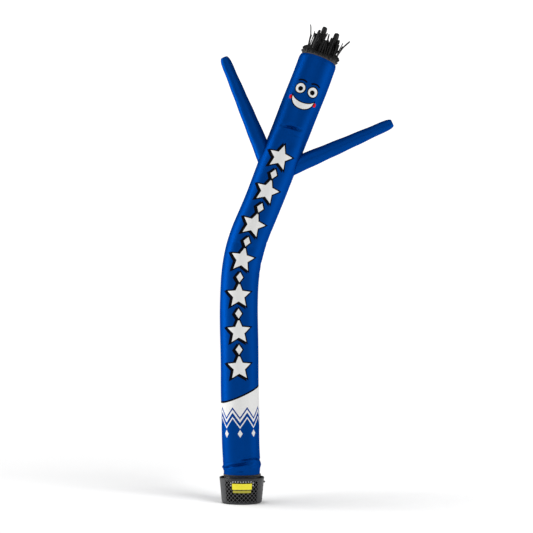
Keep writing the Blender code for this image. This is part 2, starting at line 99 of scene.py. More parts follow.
# Soft troughs in the cloth: where the middle is, half width along the tube, half length
# round it in degrees, how far it climbs for each radian of turn, and its depth, which is
# negative for a ridge
Fold = namedtuple("Fold", "along turn half_width half_turn climb depth")
FOLDS = (
    Fold(0.155, -6, 0.022, 58, 0.036, 0.032),
    Fold(0.110, -64, 0.013, 44, 0.036, 0.016),
    Fold(0.211, 20, 0.014, 42, 0.012, 0.016),
    Fold(0.200, 68, 0.014, 42, -0.035, 0.018),
    Fold(0.064, -4, 0.012, 16, 0.0, 0.009),
    Fold(0.105, -90, 0.030, 42, 0.0, -0.013),
    Fold(0.135, 90, 0.034, 42, 0.0, -0.009),
    Fold(0.180, 168, 0.026, 62, 0.040, 0.011),
    Fold(0.105, 140, 0.020, 45, -0.045, 0.006),
    Fold(2.720, -3, 0.055, 44, 0.020, 0.010),
    Fold(2.560, 112, 0.050, 50, -0.020, 0.006),
    Fold(TUBE_LENGTH - 0.926, -2, 0.023, 40, 0.030, 0.036),
    Fold(TUBE_LENGTH - 1.090, 0, 0.085, 50, 0.0, 0.008),
)
# Finer creases over the folds
CREASES = (
    Fold(0.174, -36, 0.014, 34, 0.040, 0.003),
    Fold(0.205, 8, 0.013, 26, 0.030, 0.003),
    Fold(0.268, 40, 0.012, 30, 0.018, 0.002),
    Fold(0.118, 30, 0.012, 30, 0.020, 0.003),
    Fold(0.092, -52, 0.012, 24, -0.015, 0.003),
    Fold(0.240, -120, 0.020, 44, -0.030, 0.005),
    Fold(0.150, -150, 0.016, 34, 0.030, 0.004),
    Fold(2.640, 62, 0.030, 40, 0.015, 0.003),
    Fold(2.752, -16, 0.016, 20, 0.040, 0.004),
    Fold(2.700, -4, 0.014, 18, 0.040, 0.004),
    Fold(2.860, 86, 0.026, 36, -0.020, 0.004),
    Fold(3.010, 104, 0.024, 34, -0.012, 0.003),
    Fold(2.450, 80, 0.028, 34, 0.020, 0.003),
    Fold(TUBE_LENGTH - 0.990, 24, 0.016, 24, 0.020, 0.003),
    Fold(TUBE_LENGTH - 0.870, -30, 0.020, 22, 0.030, 0.002),
    Fold(TUBE_LENGTH - 1.000, 118, 0.040, 44, -0.030, 0.004),
    Fold(TUBE_LENGTH - 0.060, 12, 0.020, 30, 0.010, 0.002),
)

# Sleeves
ARM_BELOW_TOP = 1.266
ARM_LENGTH = 1.215
ARM_PROFILE = (  # share of the sleeve's length, radius
    (-0.20, 0.1060),
    (0.00, 0.0995),
    (0.10, 0.0953),
    (0.40, 0.0835),
    (0.70, 0.0710),
    (0.80, 0.0665),
    (0.90, 0.0640),
    (0.95, 0.0610),
    (0.982, 0.0530),
    (1.00, 0.0380),
)
ARM_GAP = 0.0004
ARM_HOLE_RADIUS, ARM_HOLE_REACH = 0.080, 0.20  # of the hole in the tube behind each sleeve
# Which side a sleeve is on, 1 for the right, how far it spreads from the tube's way up, and
# how far it has turned forward at its end, in degrees
Arm = namedtuple("Arm", "side spread forward")
ARMS = {"arm_left": Arm(-1, 42.7, -2.0), "arm_right": Arm(1, 46.2, 11.0)}
# Lengthwise troughs in a sleeve: where round it, half width in degrees, from and to which
# share of the length, and depth
Groove = namedtuple("Groove", "turn half_turn start end depth")
ARM_GROOVES = {
    "arm_left": (
        Groove(-62, 34, -0.10, 0.34, 0.005),
        Groove(20, 26, 0.30, 0.80, 0.001),
        Groove(160, 30, 0.05, 0.60, 0.004),
    ),
    "arm_right": (
        Groove(12, 30, -0.10, 0.40, 0.004),
        Groove(-24, 24, 0.45, 0.95, 0.002),
        Groove(150, 30, 0.10, 0.70, 0.004),
    ),
}

# The crown's band: radius and height above the tube's top, from seam to middle, how deeply
# its cloth is pleated there, and how far it flares at its two sides
CROWN_PROFILE = (
    (0.2195, -0.012, 0.0, 0.0),
    (0.2195, 0.004, 0.001, 0.0),
    (0.209, 0.020, 0.003, 0.0),
    (0.205, 0.040, 0.006, 0.012),
    (0.204, 0.060, 0.010, 0.030),
    (0.194, 0.082, 0.012, 0.020),
    (0.176, 0.102, 0.010, 0.010),
    (0.164, 0.118, 0.005, 0.003),
    (0.132, 0.128, 0.003, 0.0),
    (0.100, 0.136, 0.002, 0.0),
    (0.068, 0.141, 0.0, 0.0),
)
BINDING_ROWS = 13
CROWN_PLEATS = 31
CROWN_COLUMNS = 310
CROWN_ROWS = 60
TUFT_MIDDLE, TUFT_HALF_WIDTH, TUFT_HALF_DEPTH = 0.014, 0.158, 0.150
TUFT_HEIGHTS = (  # distance to the right of the middle, height of the tips
    (-0.150, 0.255),
    (-0.120, 0.320),
    (-0.090, 0.335),
    (-0.050, 0.345),
    (-0.030, 0.300),
    (0.000, 0.265),
    (0.060, 0.255),
    (0.085, 0.310),
    (0.130, 0.310),
    (0.160, 0.270),
    (0.175, 0.200),
)
STRIP_COUNT = 150
STRIP_WIDTH = 0.030
STRIP_THICK = 0.0012
# A strip's place right of the crown's middle and in front of it, its tip's height above the
# tube's top, its width, and how far its tip leans to the right
Strip = namedtuple("Strip", "right front tip width lean")
TALL_STRIPS = (
    Strip(-0.056, 0.050, 0.406, 0.062, 0.0),
    Strip(-0.054, 0.000, 0.398, 0.058, 0.0),
    Strip(-0.068, -0.050, 0.396, 0.042, 0.006),
    Strip(-0.112, 0.040, 0.352, 0.036, 0.004),
    Strip(-0.120, 0.000, 0.346, 0.034, 0.010),
    Strip(-0.106, -0.050, 0.350, 0.034, 0.0),
    Strip(-0.135, 0.020, 0.300, 0.030, 0.006),
    Strip(-0.020, 0.040, 0.348, 0.020, 0.012),
    Strip(0.034, 0.030, 0.345, 0.020, -0.018),
    Strip(0.050, 0.020, 0.322, 0.013, 0.014),
    Strip(0.103, 0.050, 0.384, 0.060, 0.0),
    Strip(0.108, 0.000, 0.376, 0.056, 0.0),
    Strip(0.096, -0.050, 0.370, 0.044, 0.008),
    Strip(0.146, 0.040, 0.320, 0.036, 0.002),
    Strip(0.150, -0.020, 0.312, 0.034, 0.0),
    Strip(0.166, 0.020, 0.262, 0.026, 0.004),
    # these stand apart at the two sides
    Strip(-0.166, 0.020, 0.385, 0.015, -0.075),
    Strip(-0.172, -0.020, 0.300, 0.014, -0.030),
    Strip(-0.156, 0.000, 0.330, 0.012, -0.008),
    Strip(-0.176, 0.030, 0.262, 0.012, -0.004),
    Strip(0.186, 0.010, 0.356, 0.021, 0.086),
    Strip(0.184, -0.020, 0.312, 0.012, 0.020),
    Strip(0.190, 0.030, 0.262, 0.014, 0.024),
)

# Blower
TUB_FOOT_RADIUS = 0.2400
TUB_TOP_RADIUS = 0.2655
TUB_HEIGHT = 0.294
TUB_WALL = 0.004
TUB_CORNER = 0.026
TUB_SLOPE = (TUB_TOP_RADIUS - TUB_FOOT_RADIUS) / (TUB_HEIGHT - TUB_CORNER)
SIDE_TILT = -0.094  # how far the tub's side faces down
CELLS_ROUND = 30
SCREEN_CELLS = 8  # of the cells round the tub, in the front and in the back screen
SCREEN_FOOT = 0.0275
SCREEN_ROW = 0.0510
SCREEN_ROWS = 5
OPEN_SHARE = 0.82  # a hole's width as a share of its cell's
RIM_RADIUS = 0.0055
RIM_INSET = 0.0045
DECK_HEIGHT, DECK_THICK = 0.273, 0.003
DECK_HOLE_RADIUS = 0.185
COLLAR_RADIUS = 0.2120
COLLAR_WALL = 0.003
COLLAR_TOP = 0.366
LABEL_FOOT, LABEL_TOP, LABEL_HALF_TURN = 0.1785, 0.2495, 26.6
STRIP_FOOT, STRIP_TOP, STRIP_HALF_TURN = 0.1395, 0.1685, 24.7
LABEL_TURN = 1.2
PLATE_THICK = 0.0018
RIVET_COUNT, RIVET_PITCH, RIVET_HEIGHT = 8, 6.85, 0.271
END_RIVET_TURN, END_RIVET_HEIGHTS = 30.2, (0.256, 0.224)
BOLT_TURN, BOLT_HEIGHTS = 78.0, (0.207, 0.156, 0.110, 0.052)
HEAD_RADIUS, RIVET_RISE, BOLT_RISE = 0.0062, 0.0026, 0.0060
HEAD_SIDES, HEAD_RINGS = 16, 8
STRAP_FOOT, STRAP_TOP, STRAP_THICK = 0.319, 0.344, 0.002
GLAND_HEIGHT = 0.248
FINE_SIDES = 160

# The cloth's colours, its texture and its sewing
BLUE, SHINE_TINT = (0.0003, 0.047, 0.257), (0.0, 0.50, 1.0, 1.0)
DEEP_BLUE, LIGHT_BLUE = (0.0002, 0.043, 0.238, 1.0), (0.0004, 0.051, 0.276, 1.0)
BLACK_INK, WHITE_INK = (0.004, 0.004, 0.006, 1.0), (0.80, 0.80, 0.79, 1.0)
RED_INK = (0.70, 0.012, 0.015, 1.0)
STRAP_BLACK = (0.015, 0.014, 0.013)
BLUE_SHINE = 2.30  # the threads' shine for each unit of blue over red
RIPSTOP_PITCH, RIPSTOP_EDGE = 0.0062, 0.45  # the grid's pitch, and where its lines begin
WEAVE_WAVES = 4200.0  # radians for each metre
RIB_PITCH, RIB_STEP = 0.0022, 0.0030  # along the webbing, and across it
STITCH_PITCH, STITCH_HALF_WIDTH, STITCH_HALF_LENGTH = 0.0075, 0.0006, 0.0023
# Rows of stitches: turns from the back seam's middle, distances under the top hem, shares of
# a sleeve's length past its root, and at its mouth
SEAM_STITCHES, HEM_STITCHES = (-0.019, 0.019), (0.034, 0.028)
ROOT_STITCHES, MOUTH_STITCHES = (0.007, 0.013), (0.955, 0.962)
# The back seam's two ends, and across it its turns from the middle and heights off the cloth
BACK_SEAM_FOOT, BACK_SEAM_TOP = 0.055, TUBE_LENGTH - 0.004
BACK_SEAM = ((-0.034, -0.0010), (-0.031, 0.0012), (0.0, 0.0014), (0.031, 0.0012), (0.034, -0.0010))

# Print on the cloth, in metres along the tube
STAR_FIRST, STAR_PITCH, STAR_COUNT = 1.300, 0.425, 7
STAR_REACH, STAR_WAIST = 0.150, 0.070
DIAMOND_HALF_WIDTH, DIAMOND_HALF_HEIGHT = 0.040, 0.058
OUTLINE = 0.016
SHADOW_LEFT, SHADOW_DOWN = 0.026, 0.010
# The face's discs: to the side of its middle, above it, and radius
FACE_ALONG = TUBE_LENGTH - 0.560
EYE, PUPIL, CHEEK = (0.080, 0.120, 0.058), (0.076, 0.114, 0.030), (0.160, -0.010, 0.024)
BROW, BROW_END = (0.084, 0.130, 0.094), (0.084, 0.262, 0.070)
MOUTH, MOUTH_LID = (0.0, 0.025, 0.140), (0.0, 0.160, 0.205)
FACE_OUTLINE, BROW_HALF_WIDTH = 0.013, 0.010
# The white ground's edge: its height, its rise to the right and its dip in front
GROUND_EDGE, GROUND_RISE, GROUND_DIP, EDGE_HALF_WIDTH = 0.985, 0.095, 0.029, 0.011
# The border: chevrons, a blue line above their edge, a white one below, small diamonds
CHEVRONS, CHEVRON_ALONG, CHEVRON_DEPTH = 8, 0.770, 0.120
LINE_ABOVE, LINE_ABOVE_HALF, LINE_BELOW, LINE_BELOW_HALF = 0.050, 0.014, 0.060, 0.011
BORDER_DIAMOND_ALONG, BORDER_DIAMOND_HALVES = 0.520, (0.030, 0.046)
SEED = 5


# Shading


class Field:
    """A number that varies over a surface; sums of fields are Math nodes."""

    def __init__(self, tree, socket):
        self.tree, self.socket = tree, socket

    def run(self, operation, *others, clamp=False):
        node = self.tree.nodes.new("ShaderNodeMath")
        node.operation = operation
        node.use_clamp = clamp
        for socket, value in zip(node.inputs, (self, *others)):
            join(self.tree, value, socket)
        return Field(self.tree, node.outputs[0])

    def __add__(self, other):
        return self.run("ADD", other)

    def __sub__(self, other):
        return self.run("SUBTRACT", other)

    def __mul__(self, other):
        return self.run("MULTIPLY", other)

    def __truediv__(self, other):
        return self.run("DIVIDE", other)

    def __abs__(self):
        return self.run("ABSOLUTE")


def join(tree, value, socket):
    """Links a field or a node's output to a socket, or sets the socket to a plain value."""
    if isinstance(value, Field):
        value = value.socket
    if isinstance(value, bpy.types.NodeSocket):
        tree.links.new(value, socket)
    else:
        socket.default_value = value


def add_node(tree, kind, inputs=None, **settings):
    node = tree.nodes.new(kind)
    for name, value in settings.items():
        setattr(node, name, value)
    for key, value in (inputs or {}).items():
        join(tree, value, node.inputs[key])
    return node


def output(tree, kind, inputs=None, **settings):
    """The first output of a new node."""
    return add_node(tree, kind, inputs, **settings).outputs[0]


def new_material(name, colour, roughness, metallic=0.0, specular=0.5):
    """A material with its own numbers on the shader's sockets, and its tree and shader."""
    material = bpy.data.materials.new(name)
    material.use_nodes = True
    tree = material.node_tree
    shader = tree.nodes["Principled BSDF"]
    shader.inputs["Base Color"].default_value = (*colour, 1.0)
    shader.inputs["Roughness"].default_value = roughness
    shader.inputs["Metallic"].default_value = metallic
    shader.inputs["Specular IOR Level"].default_value = specular
    return material, tree, shader


def surface_metres(tree, width, length):
    """Distances over a sheet: to the right of its front line, and from its lower end."""
    uv = output(tree, "ShaderNodeUVMap", uv_map="cloth")
    parts = add_node(tree, "ShaderNodeSeparateXYZ", {0: uv}).outputs
    return (Field(tree, parts[0]) - 0.5) * width, Field(tree, parts[1]) * length


def inside(distance, edge=0.0, soft=0.003):
    """1 where a signed distance is under the edge, and 0 outside it."""
    return (distance * (-1.0 / soft)).run("ADD", 0.5 + edge / soft, clamp=True)


def paint(tree, below, above, mask):
    mix = add_node(tree, "ShaderNodeMix", {0: mask, 6: below, 7: above}, data_type="RGBA")
    return mix.outputs[2]


def noise(tree, scale, detail=3.0):
    """A smooth random field over the object, from 0 to 1."""
    place = add_node(tree, "ShaderNodeTexCoord").outputs["Object"]
    inputs = {"Vector": place, "Scale": scale, "Detail": detail}
    return Field(tree, output(tree, "ShaderNodeTexNoise", inputs))


def set_bump(tree, shader, height, distance, strength=1.0, below=None):
    inputs = {"Height": height, "Distance": distance, "Strength": strength}
    if below is not None:
        inputs["Normal"] = below
    bump = output(tree, "ShaderNodeBump", inputs)
    tree.links.new(bump, shader.inputs["Normal"])
    return bump


def mottle(tree, shader, colour, spread, scale, rough_low, rough_high):
    """Slight unevenness of a finish in colour and roughness."""
    cloud = noise(tree, scale)
    dark = tuple(c * (1.0 - spread) for c in colour)
    light = tuple(min(1.0, c * (1.0 + spread)) for c in colour)
    join(tree, paint(tree, (*dark, 1.0), (*light, 1.0), cloud), shader.inputs["Base Color"])
    roughness = noise(tree, scale * 3.1) * (rough_high - rough_low) + rough_low
    join(tree, roughness, shader.inputs["Roughness"])


def star_distance(x, z, reach, waist):
    """Signed distance from the edge of a star with five points, one of them upwards."""
    half = math.pi / 5
    radius = (x * x + z * z).run("SQRT")
    turn = x.run("ARCTAN2", z).run("PINGPONG", half)
    across, up = waist * math.sin(half), reach - waist * math.cos(half)
    side = math.hypot(across, up)
    return radius * turn.run("SINE") * (up / side) + (
        (radius * turn.run("COSINE") - reach) * (across / side)
    )


def diamond_distance(x, z, half_width, half_height):
    scale = half_width * half_height / math.hypot(half_width, half_height)
    return (abs(x) * (1.0 / half_width) + abs(z) * (1.0 / half_height) - 1.0) * scale


def disc_distance(x, z, across, up, radius):
    x, z = x - across, z - up
    return (x * x + z * z).run("SQRT") - radius


def repeated(z, first, pitch, count):
    """Distance from the nearest of a row of places, and 1 within the row."""
    cells = (z - (first - pitch / 2)) / pitch
    within = cells.run("GREATER_THAN", 0.0) * cells.run("LESS_THAN", float(count))
    return (cells.run("FRACT") - 0.5) * pitch, within


def outlined(tree, ink, distance, shadow_distance, within):
    """Paints a white shape with its black outline and shadow over the cloth's colour."""
    for edge in (shadow_distance, distance):
        ink = paint(tree, ink, BLACK_INK, inside(edge, OUTLINE) * within)
    return paint(tree, ink, WHITE_INK, inside(distance) * within)


def printed_front(tree, ink, x, z):
    """The column of stars up the front, with diamonds between them."""
    for first, count, shape, *size in (
        (STAR_FIRST, STAR_COUNT, star_distance, STAR_REACH, STAR_WAIST),
        (
            STAR_FIRST + STAR_PITCH / 2,
            STAR_COUNT - 1,
            diamond_distance,
            DIAMOND_HALF_WIDTH,
            DIAMOND_HALF_HEIGHT,
        ),
    ):
        local, within = repeated(z, first, STAR_PITCH, count)
        shadow = shape(x + SHADOW_LEFT, local + SHADOW_DOWN, *size)
        ink = outlined(tree, ink, shape(x, local, *size), shadow, within)
    return ink


def printed_face(tree, ink, x, z):
    """A plain smiling face: round eyes under brows, round cheeks and a curved mouth."""
    up, mirrored = z - FACE_ALONG, abs(x)
    eye, pupil, cheek = (disc_distance(mirrored, up, *disc) for disc in (EYE, PUPIL, CHEEK))
    brow = abs(disc_distance(mirrored, up, *BROW))
    brow = brow.run("MAXIMUM", disc_distance(mirrored, up, *BROW_END))
    lid = disc_distance(x, up, *MOUTH_LID)
    mouth = disc_distance(x, up, *MOUTH).run("MAXIMUM", lid * -1.0)
    for colour, shape, edge in (
        (BLACK_INK, eye, FACE_OUTLINE),
        (WHITE_INK, eye, 0.0),
        (BLACK_INK, pupil, 0.0),
        (BLACK_INK, brow, BROW_HALF_WIDTH),
        (RED_INK, cheek, 0.0),
        (BLACK_INK, mouth, FACE_OUTLINE),
        (WHITE_INK, mouth, 0.0),
    ):
        ink = paint(tree, ink, colour, inside(shape, edge))
    return ink


def printed_foot(tree, blue, x, z):
    """The white ground near the foot, with a dark curved edge and a border of chevrons."""
    turn = x * (1.0 / FLAT_RADIUS)
    edge = turn.run("SINE") * GROUND_RISE - turn.run("COSINE") * GROUND_DIP + GROUND_EDGE
    half = math.tau * FLAT_RADIUS / CHEVRONS / 2
    across = (x + half).run("PINGPONG", half)
    zigzag = across * (-CHEVRON_DEPTH / half) + CHEVRON_ALONG
    diamond = diamond_distance(across - half, z - BORDER_DIAMOND_ALONG, *BORDER_DIAMOND_HALVES)
    ink = paint(tree, blue, WHITE_INK, inside(z - edge) * inside(zigzag - z))
    for colour, shape, width in (
        (BLACK_INK, abs(z - edge), EDGE_HALF_WIDTH),
        (blue, abs(z - zigzag - LINE_ABOVE), LINE_ABOVE_HALF),
        (WHITE_INK, abs(z - zigzag + LINE_BELOW), LINE_BELOW_HALF),
        (WHITE_INK, diamond, 0.0),
    ):
        ink = paint(tree, ink, colour, inside(shape, width))
    return ink


def nylon(name, width, length, with_print=False):
    """Thin blue woven cloth, with the threads' own blue shine where no ink hides it."""
    material, tree, shader = new_material(name, BLUE, 0.46, specular=0.0)
    shader.inputs["Specular Tint"].default_value = SHINE_TINT
    x, z = surface_metres(tree, width, length)
    ink = paint(tree, DEEP_BLUE, LIGHT_BLUE, noise(tree, 5.0, 4.0))
    if with_print:
        ink = printed_face(tree, printed_front(tree, printed_foot(tree, ink, x, z), x, z), x, z)
    join(tree, ink, shader.inputs["Base Color"])
    parts = add_node(tree, "ShaderNodeSeparateColor", {0: ink}).outputs
    bare = (Field(tree, parts[2]) - Field(tree, parts[0])).run("MAXIMUM", 0.0)
    join(tree, bare * BLUE_SHINE, shader.inputs["Metallic"])
    threads = [abs((distance * (1.0 / RIPSTOP_PITCH)).run("FRACT") - 0.5) for distance in (x, z)]
    ripstop = threads[0].run("MAXIMUM", threads[1]).run("GREATER_THAN", RIPSTOP_EDGE)
    fine = (x * WEAVE_WAVES).run("SINE") * (z * WEAVE_WAVES).run("SINE")
    weave = set_bump(tree, shader, ripstop + fine * 0.25, 0.00008, 0.5)
    set_bump(tree, shader, noise(tree, 14.0, 2.0), 0.004, 0.25, weave)
    return material


def webbing():
    """Woven strap, with ribs across it; its colour is lighter on the ribs' tops and darker between
    them, as painted shade.
    """
    material, tree, shader = new_material("dark webbing", STRAP_BLACK, 0.45, specular=0.3)
    x, z = surface_metres(tree, math.tau * CUFF_RADIUS, STRAP_TOP - STRAP_FOOT)
    ribs = (x * (math.tau / RIB_PITCH)).run("SINE") * (z * (math.tau / RIB_STEP)).run("COSINE")
    # random tone, plus painted shade that darkens the hollows between the ribs
    tone_and_rib_shade = noise(tree, 40.0) * 0.5 + ribs * 0.25 + 0.3
    ink = paint(tree, (0.005, 0.005, 0.005, 1.0), (*STRAP_BLACK, 1.0), tone_and_rib_shade)
    join(tree, ink, shader.inputs["Base Color"])
    set_bump(tree, shader, ribs, 0.0004)
    return material


def finish(name, colour, spread, cloud, roughness, grain=None, metallic=0.0, specular=0.5):
    """A finish that is a little uneven in colour and roughness.

    cloud is the scale of the unevenness, roughness its middle, low and high, and grain the
    scale, detail, depth and strength of a fine bump.
    """
    middle, low, high = roughness
    material, tree, shader = new_material(name, colour, middle, metallic, specular)
    mottle(tree, shader, colour, spread, cloud, low, high)
    if grain:
        scale, detail, depth, strength = grain
        set_bump(tree, shader, noise(tree, scale, detail), depth, strength)
    return material


def powder_coat(name, colour):
    """Sprayed and baked paint with a fine orange-peel texture."""
    return finish(name, colour, 0.18, 9.0, (0.42, 0.34, 0.50), (900.0, 2.0, 0.0004, 0.35))


def moulded(name, colour, middle=0.45):
    roughness = (middle, middle - 0.06, middle + 0.10)
    return finish(name, colour, 0.20, 30.0, roughness, (1400.0, 2.0, 0.0002, 0.5))


# Shapes


def placed(name, data):
    """A new object of the scene that shows the data."""
    piece = bpy.data.objects.new(name, data)
    bpy.context.scene.collection.objects.link(piece)
    return piece


def surfaced(name, mesh, material, crease):
    """A smooth piece of one material from a mesh, with edges sharp from an angle."""
    mesh.shade_smooth()
    mesh.set_sharp_from_angle(angle=math.radians(crease))
    mesh.materials.append(material)
    return placed(name, mesh)


def add_mesh(name, points, faces, material, crease=40.0, uvs=None):
    """A smooth mesh piece; uvs is one pair for each corner of each face, in order."""
    mesh = bpy.data.meshes.new(name)
    mesh.from_pydata([tuple(p) for p in points], [], faces)
    if uvs is not None:
        layer = mesh.uv_layers.new(name="cloth")
        layer.data.foreach_set("uv", np.asarray(uvs, dtype=np.float32).ravel())
    return surfaced(name, mesh, material, crease)


def from_bmesh(name, shape, material, crease):
    mesh = bpy.data.meshes.new(name)
    shape.to_mesh(mesh)
    shape.free()
    return surfaced(name, mesh, material, crease)


def marked_points(name, places, **marks):
    """Loose points for a shape tree, with a vector on each of them for every mark."""
    mesh = bpy.data.meshes.new(name)
    mesh.from_pydata([tuple(p) for p in places], [], [])
    for title, values in marks.items():
        mesh.attributes.new(title, "FLOAT_VECTOR", "POINT")
        data = np.asarray(values, np.float32).ravel()
        mesh.attributes[title].data.foreach_set("vector", data)
    return placed(name, mesh)


def finished(piece):
    """The piece with its modifiers applied."""
    graph = bpy.context.evaluated_depsgraph_get()
    mesh = bpy.data.meshes.new_from_object(piece.evaluated_get(graph))
    old = piece.data
    piece.modifiers.clear()
    piece.data = mesh
    mesh.name = piece.name
    bpy.data.meshes.remove(old)
    return piece


def merged(name, pieces):
    """One piece from several, with their materials and UV maps."""
    with bpy.context.temp_override(
        active_object=pieces[0], selected_editable_objects=pieces, selected_objects=pieces
    ):
        bpy.ops.object.join()
    pieces[0].name = pieces[0].data.name = name
    return pieces[0]


def fit(piece, slot, *nodes):
    """The piece rides on the part's one body and takes its nodes' places; its slot is not used."""
    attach(piece, "root")
    if nodes:
        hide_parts(*nodes)
    return piece


def between(table, x, spread=0.0):
    """The value at x in a table of (x, value) rows, averaged over a short spread."""
    places, values = zip(*table)
    offsets = (-1.0, -0.5, 0.0, 0.5, 1.0) if spread else (0.0,)
    return sum(np.interp(x + o * spread, places, values) for o in offsets) / len(offsets)


def ring_faces(rows, columns, closed=False):
    """Faces between rows of points that each run round; closed joins the last to the first."""
    faces = []
    for row in range(rows if closed else rows - 1):
        low, high = row * columns, (row + 1) % rows * columns
        for k in range(columns):
            n = (k + 1) % columns
            faces.append((low + k, low + n, high + n, high + k))
    return faces


def unrolled(rows, columns):
    """The UV corners of so many rows and columns of faces, laid over the whole square."""
    corners = ((0, 0), (1, 0), (1, 1), (0, 1))
    places = ((row, k) for row in range(rows) for k in range(columns))
    return [((k + i) / columns, (row + j) / rows) for row, k in places for i, j in corners]


def lofted(name, points, material, crease=40.0, keep=None):
    """A tube from rows of points, each of which runs once round it from its back."""
    rows, columns, _ = points.shape
    faces, uvs = ring_faces(rows, columns), np.array(unrolled(rows - 1, columns))
    if keep is not None:
        kept = np.flatnonzero(keep)
        faces = [faces[n] for n in kept]
        uvs = uvs.reshape(-1, 4, 2)[kept]
    return add_mesh(name, points.reshape(-1, 3), faces, material, crease, uvs)


def turned(name, profile, material, crease=35.0):
    """A ring turned round +Z from a closed profile of (radius, height), anticlockwise."""
    turns = [math.tau * k / FINE_SIDES for k in range(FINE_SIDES)]
    points = [(r * math.sin(t), -r * math.cos(t), z) for r, z in profile for t in turns]
    size = len(profile), FINE_SIDES
    return add_mesh(name, points, ring_faces(*size, True), material, crease, unrolled(*size))


def wall(piece, thick):
    """Gives a sheet its thickness, on its inner side."""
    solidify = piece.modifiers.new("thickness", "SOLIDIFY")
    solidify.thickness = thick
    solidify.offset = -1.0
    return finished(piece)


# The tube's centre line


def centre_line():
    """Stations every STEP along the tube: their points, and the two leans there."""
    point, lean = np.array((0.0, 0.0, HEM_HEIGHT)), np.zeros(2)
    points, leans = [point], [lean]
    for length, right, back in CENTRE_LINE:
        end = np.radians((right, back))
        steps = round(length / STEP)
        for step in range(steps):
            now = lean + (end - lean) * (step + 0.5) / steps
            point = point + upwards(*now) * length / steps
            points.append(point)
            leans.append(now)
        lean = end
    return np.array(points), np.array(leans)


def upwards(lean_right, lean_back):
    return np.stack(
        (
            np.sin(lean_right) * np.cos(lean_back),
            np.sin(lean_back),
            np.cos(lean_right) * np.cos(lean_back),
        ),
        -1,
    )


LINE_POINTS, LINE_LEANS = centre_line()
STATIONS = np.arange(len(LINE_POINTS)) * STEP


def frames(along):
    """Centre points, and the right, back and upward directions, at distances along the tube."""
    along = np.asarray(along, dtype=float)
    centre = np.stack([np.interp(along, STATIONS, LINE_POINTS[:, a]) for a in range(3)], -1)
    right_lean, back_lean = (np.interp(along, STATIONS, LINE_LEANS[:, a]) for a in range(2))
    up = upwards(right_lean, back_lean)
    zero = np.zeros_like(right_lean)
    right = np.stack((np.cos(right_lean), zero, -np.sin(right_lean)), -1)
    return centre, right, np.cross(up, right), up


def wrapped(turn):
    return (turn + math.pi) % math.tau - math.pi


def pressed_in(along, turn):
    """How far the folds and creases press the tube's cloth inwards."""
    depth = 0.0
    for fold in (*FOLDS, *CREASES):
        around = wrapped(turn - math.radians(fold.turn))
        reach = np.clip(np.abs(around) / math.radians(fold.half_turn), 0.0, 1.0)
        across = (along - fold.along - fold.climb * around) / fold.half_width
        trough = (1.0 - 0.9 * across**2) * np.exp(-(across**2))
        depth = depth + fold.depth * trough * np.cos(reach * math.pi / 2) ** 2
    return depth


def gathers(along, turn):
    """Small upright pleats where the strap draws the foot in, fading out above it."""
    fade = np.exp(-(((along - 0.030) / 0.034) ** 2))
    return 0.0011 * fade * (np.sin(53 * turn) + 0.6 * np.sin(31 * turn + 1.0))


def billow(along, turn):
    """The slow unevenness of cloth that moving air holds out."""
    return 0.0011 * (
        np.sin(2.1 * along * 3 + 2 * turn)
        + np.sin(3.7 * along * 2 - 3 * turn + 1.3)
        + 0.7 * np.sin(9.0 * along + turn + 0.4)
    )


def tube_radius(along, turn):
    edge = np.clip(np.minimum(along, TUBE_LENGTH - along) / 0.12, 0.0, 1.0)
    profile = between(TUBE_PROFILE, along, 0.012)
    return profile - pressed_in(along, turn) + gathers(along, turn) + billow(along, turn) * edge


def tube_points(along, turn, off=0.0):
    """Points on the tube's cloth, or off it, for matching arrays of along and turn."""
    centre, right, back, _ = frames(along)
    radius = (tube_radius(along, turn) + off)[..., None]
    return centre + (right * np.sin(turn)[..., None] - back * np.cos(turn)[..., None]) * radius


def tube_rows():
    """Distances along the tube of its rows: close together in the folds and at the ends."""
    rows = [0.0]
    while rows[-1] < TUBE_LENGTH - 1e-6:
        pitch = PLAIN_ROW
        for fold in (*FOLDS, *CREASES):
            if abs(rows[-1] - fold.along) < 2.0 * fold.half_width + abs(fold.climb):
                pitch = min(pitch, max(FOLD_ROW_SHARE * fold.half_width, FINEST_ROW))
        if min(rows[-1], TUBE_LENGTH - rows[-1]) < END_REACH:
            pitch = min(pitch, END_ROW)
        rows.append(min(rows[-1] + pitch, TUBE_LENGTH))
    return np.array(rows)


# Sleeves


def arm_axis(arm, share):
    """Points on a sleeve's middle line, and two directions across it, for an array of shares."""
    root = TUBE_LENGTH - ARM_BELOW_TOP
    centre, right, back, up = frames(root)
    out = right * arm.side
    spread = math.radians(arm.spread)
    outwards = up * math.cos(spread) + out * math.sin(spread)
    start = centre + out * between(TUBE_PROFILE, root)
    turn = (math.radians(arm.forward) * np.maximum(share, 0.0))[..., None]
    point = start + (outwards - back * turn / 2) * (ARM_LENGTH * share)[..., None]
    heading = outwards - back * turn
    heading = heading / np.linalg.norm(heading, axis=-1, keepdims=True)
    across = np.cross(heading, back)
    across = across / np.linalg.norm(across, axis=-1, keepdims=True)
    return point, across, np.cross(across, heading)


def arm_points(name, share, turn, off=0.0):
    arm = ARMS[name]
    point, across, front = arm_axis(arm, share)
    radius = between(ARM_PROFILE, share, 0.008) + off
    for groove in ARM_GROOVES[name]:
        around = wrapped(turn - math.radians(groove.turn)) / math.radians(groove.half_turn)
        trough = np.cos(np.clip(around, -1, 1) * math.pi / 2) ** 2
        reach = np.clip((share - groove.start) / (groove.end - groove.start), 0.0, 1.0)
        radius = radius - groove.depth * trough * np.sin(reach * math.pi) ** 2
    fade = np.clip((1.0 - share) / 0.15, 0, 1)
    radius = radius + 0.0012 * np.sin(26 * share + 2 * turn) * fade
    radius = radius[..., None]
    return point + (across * np.sin(turn)[..., None] + front * np.cos(turn)[..., None]) * radius


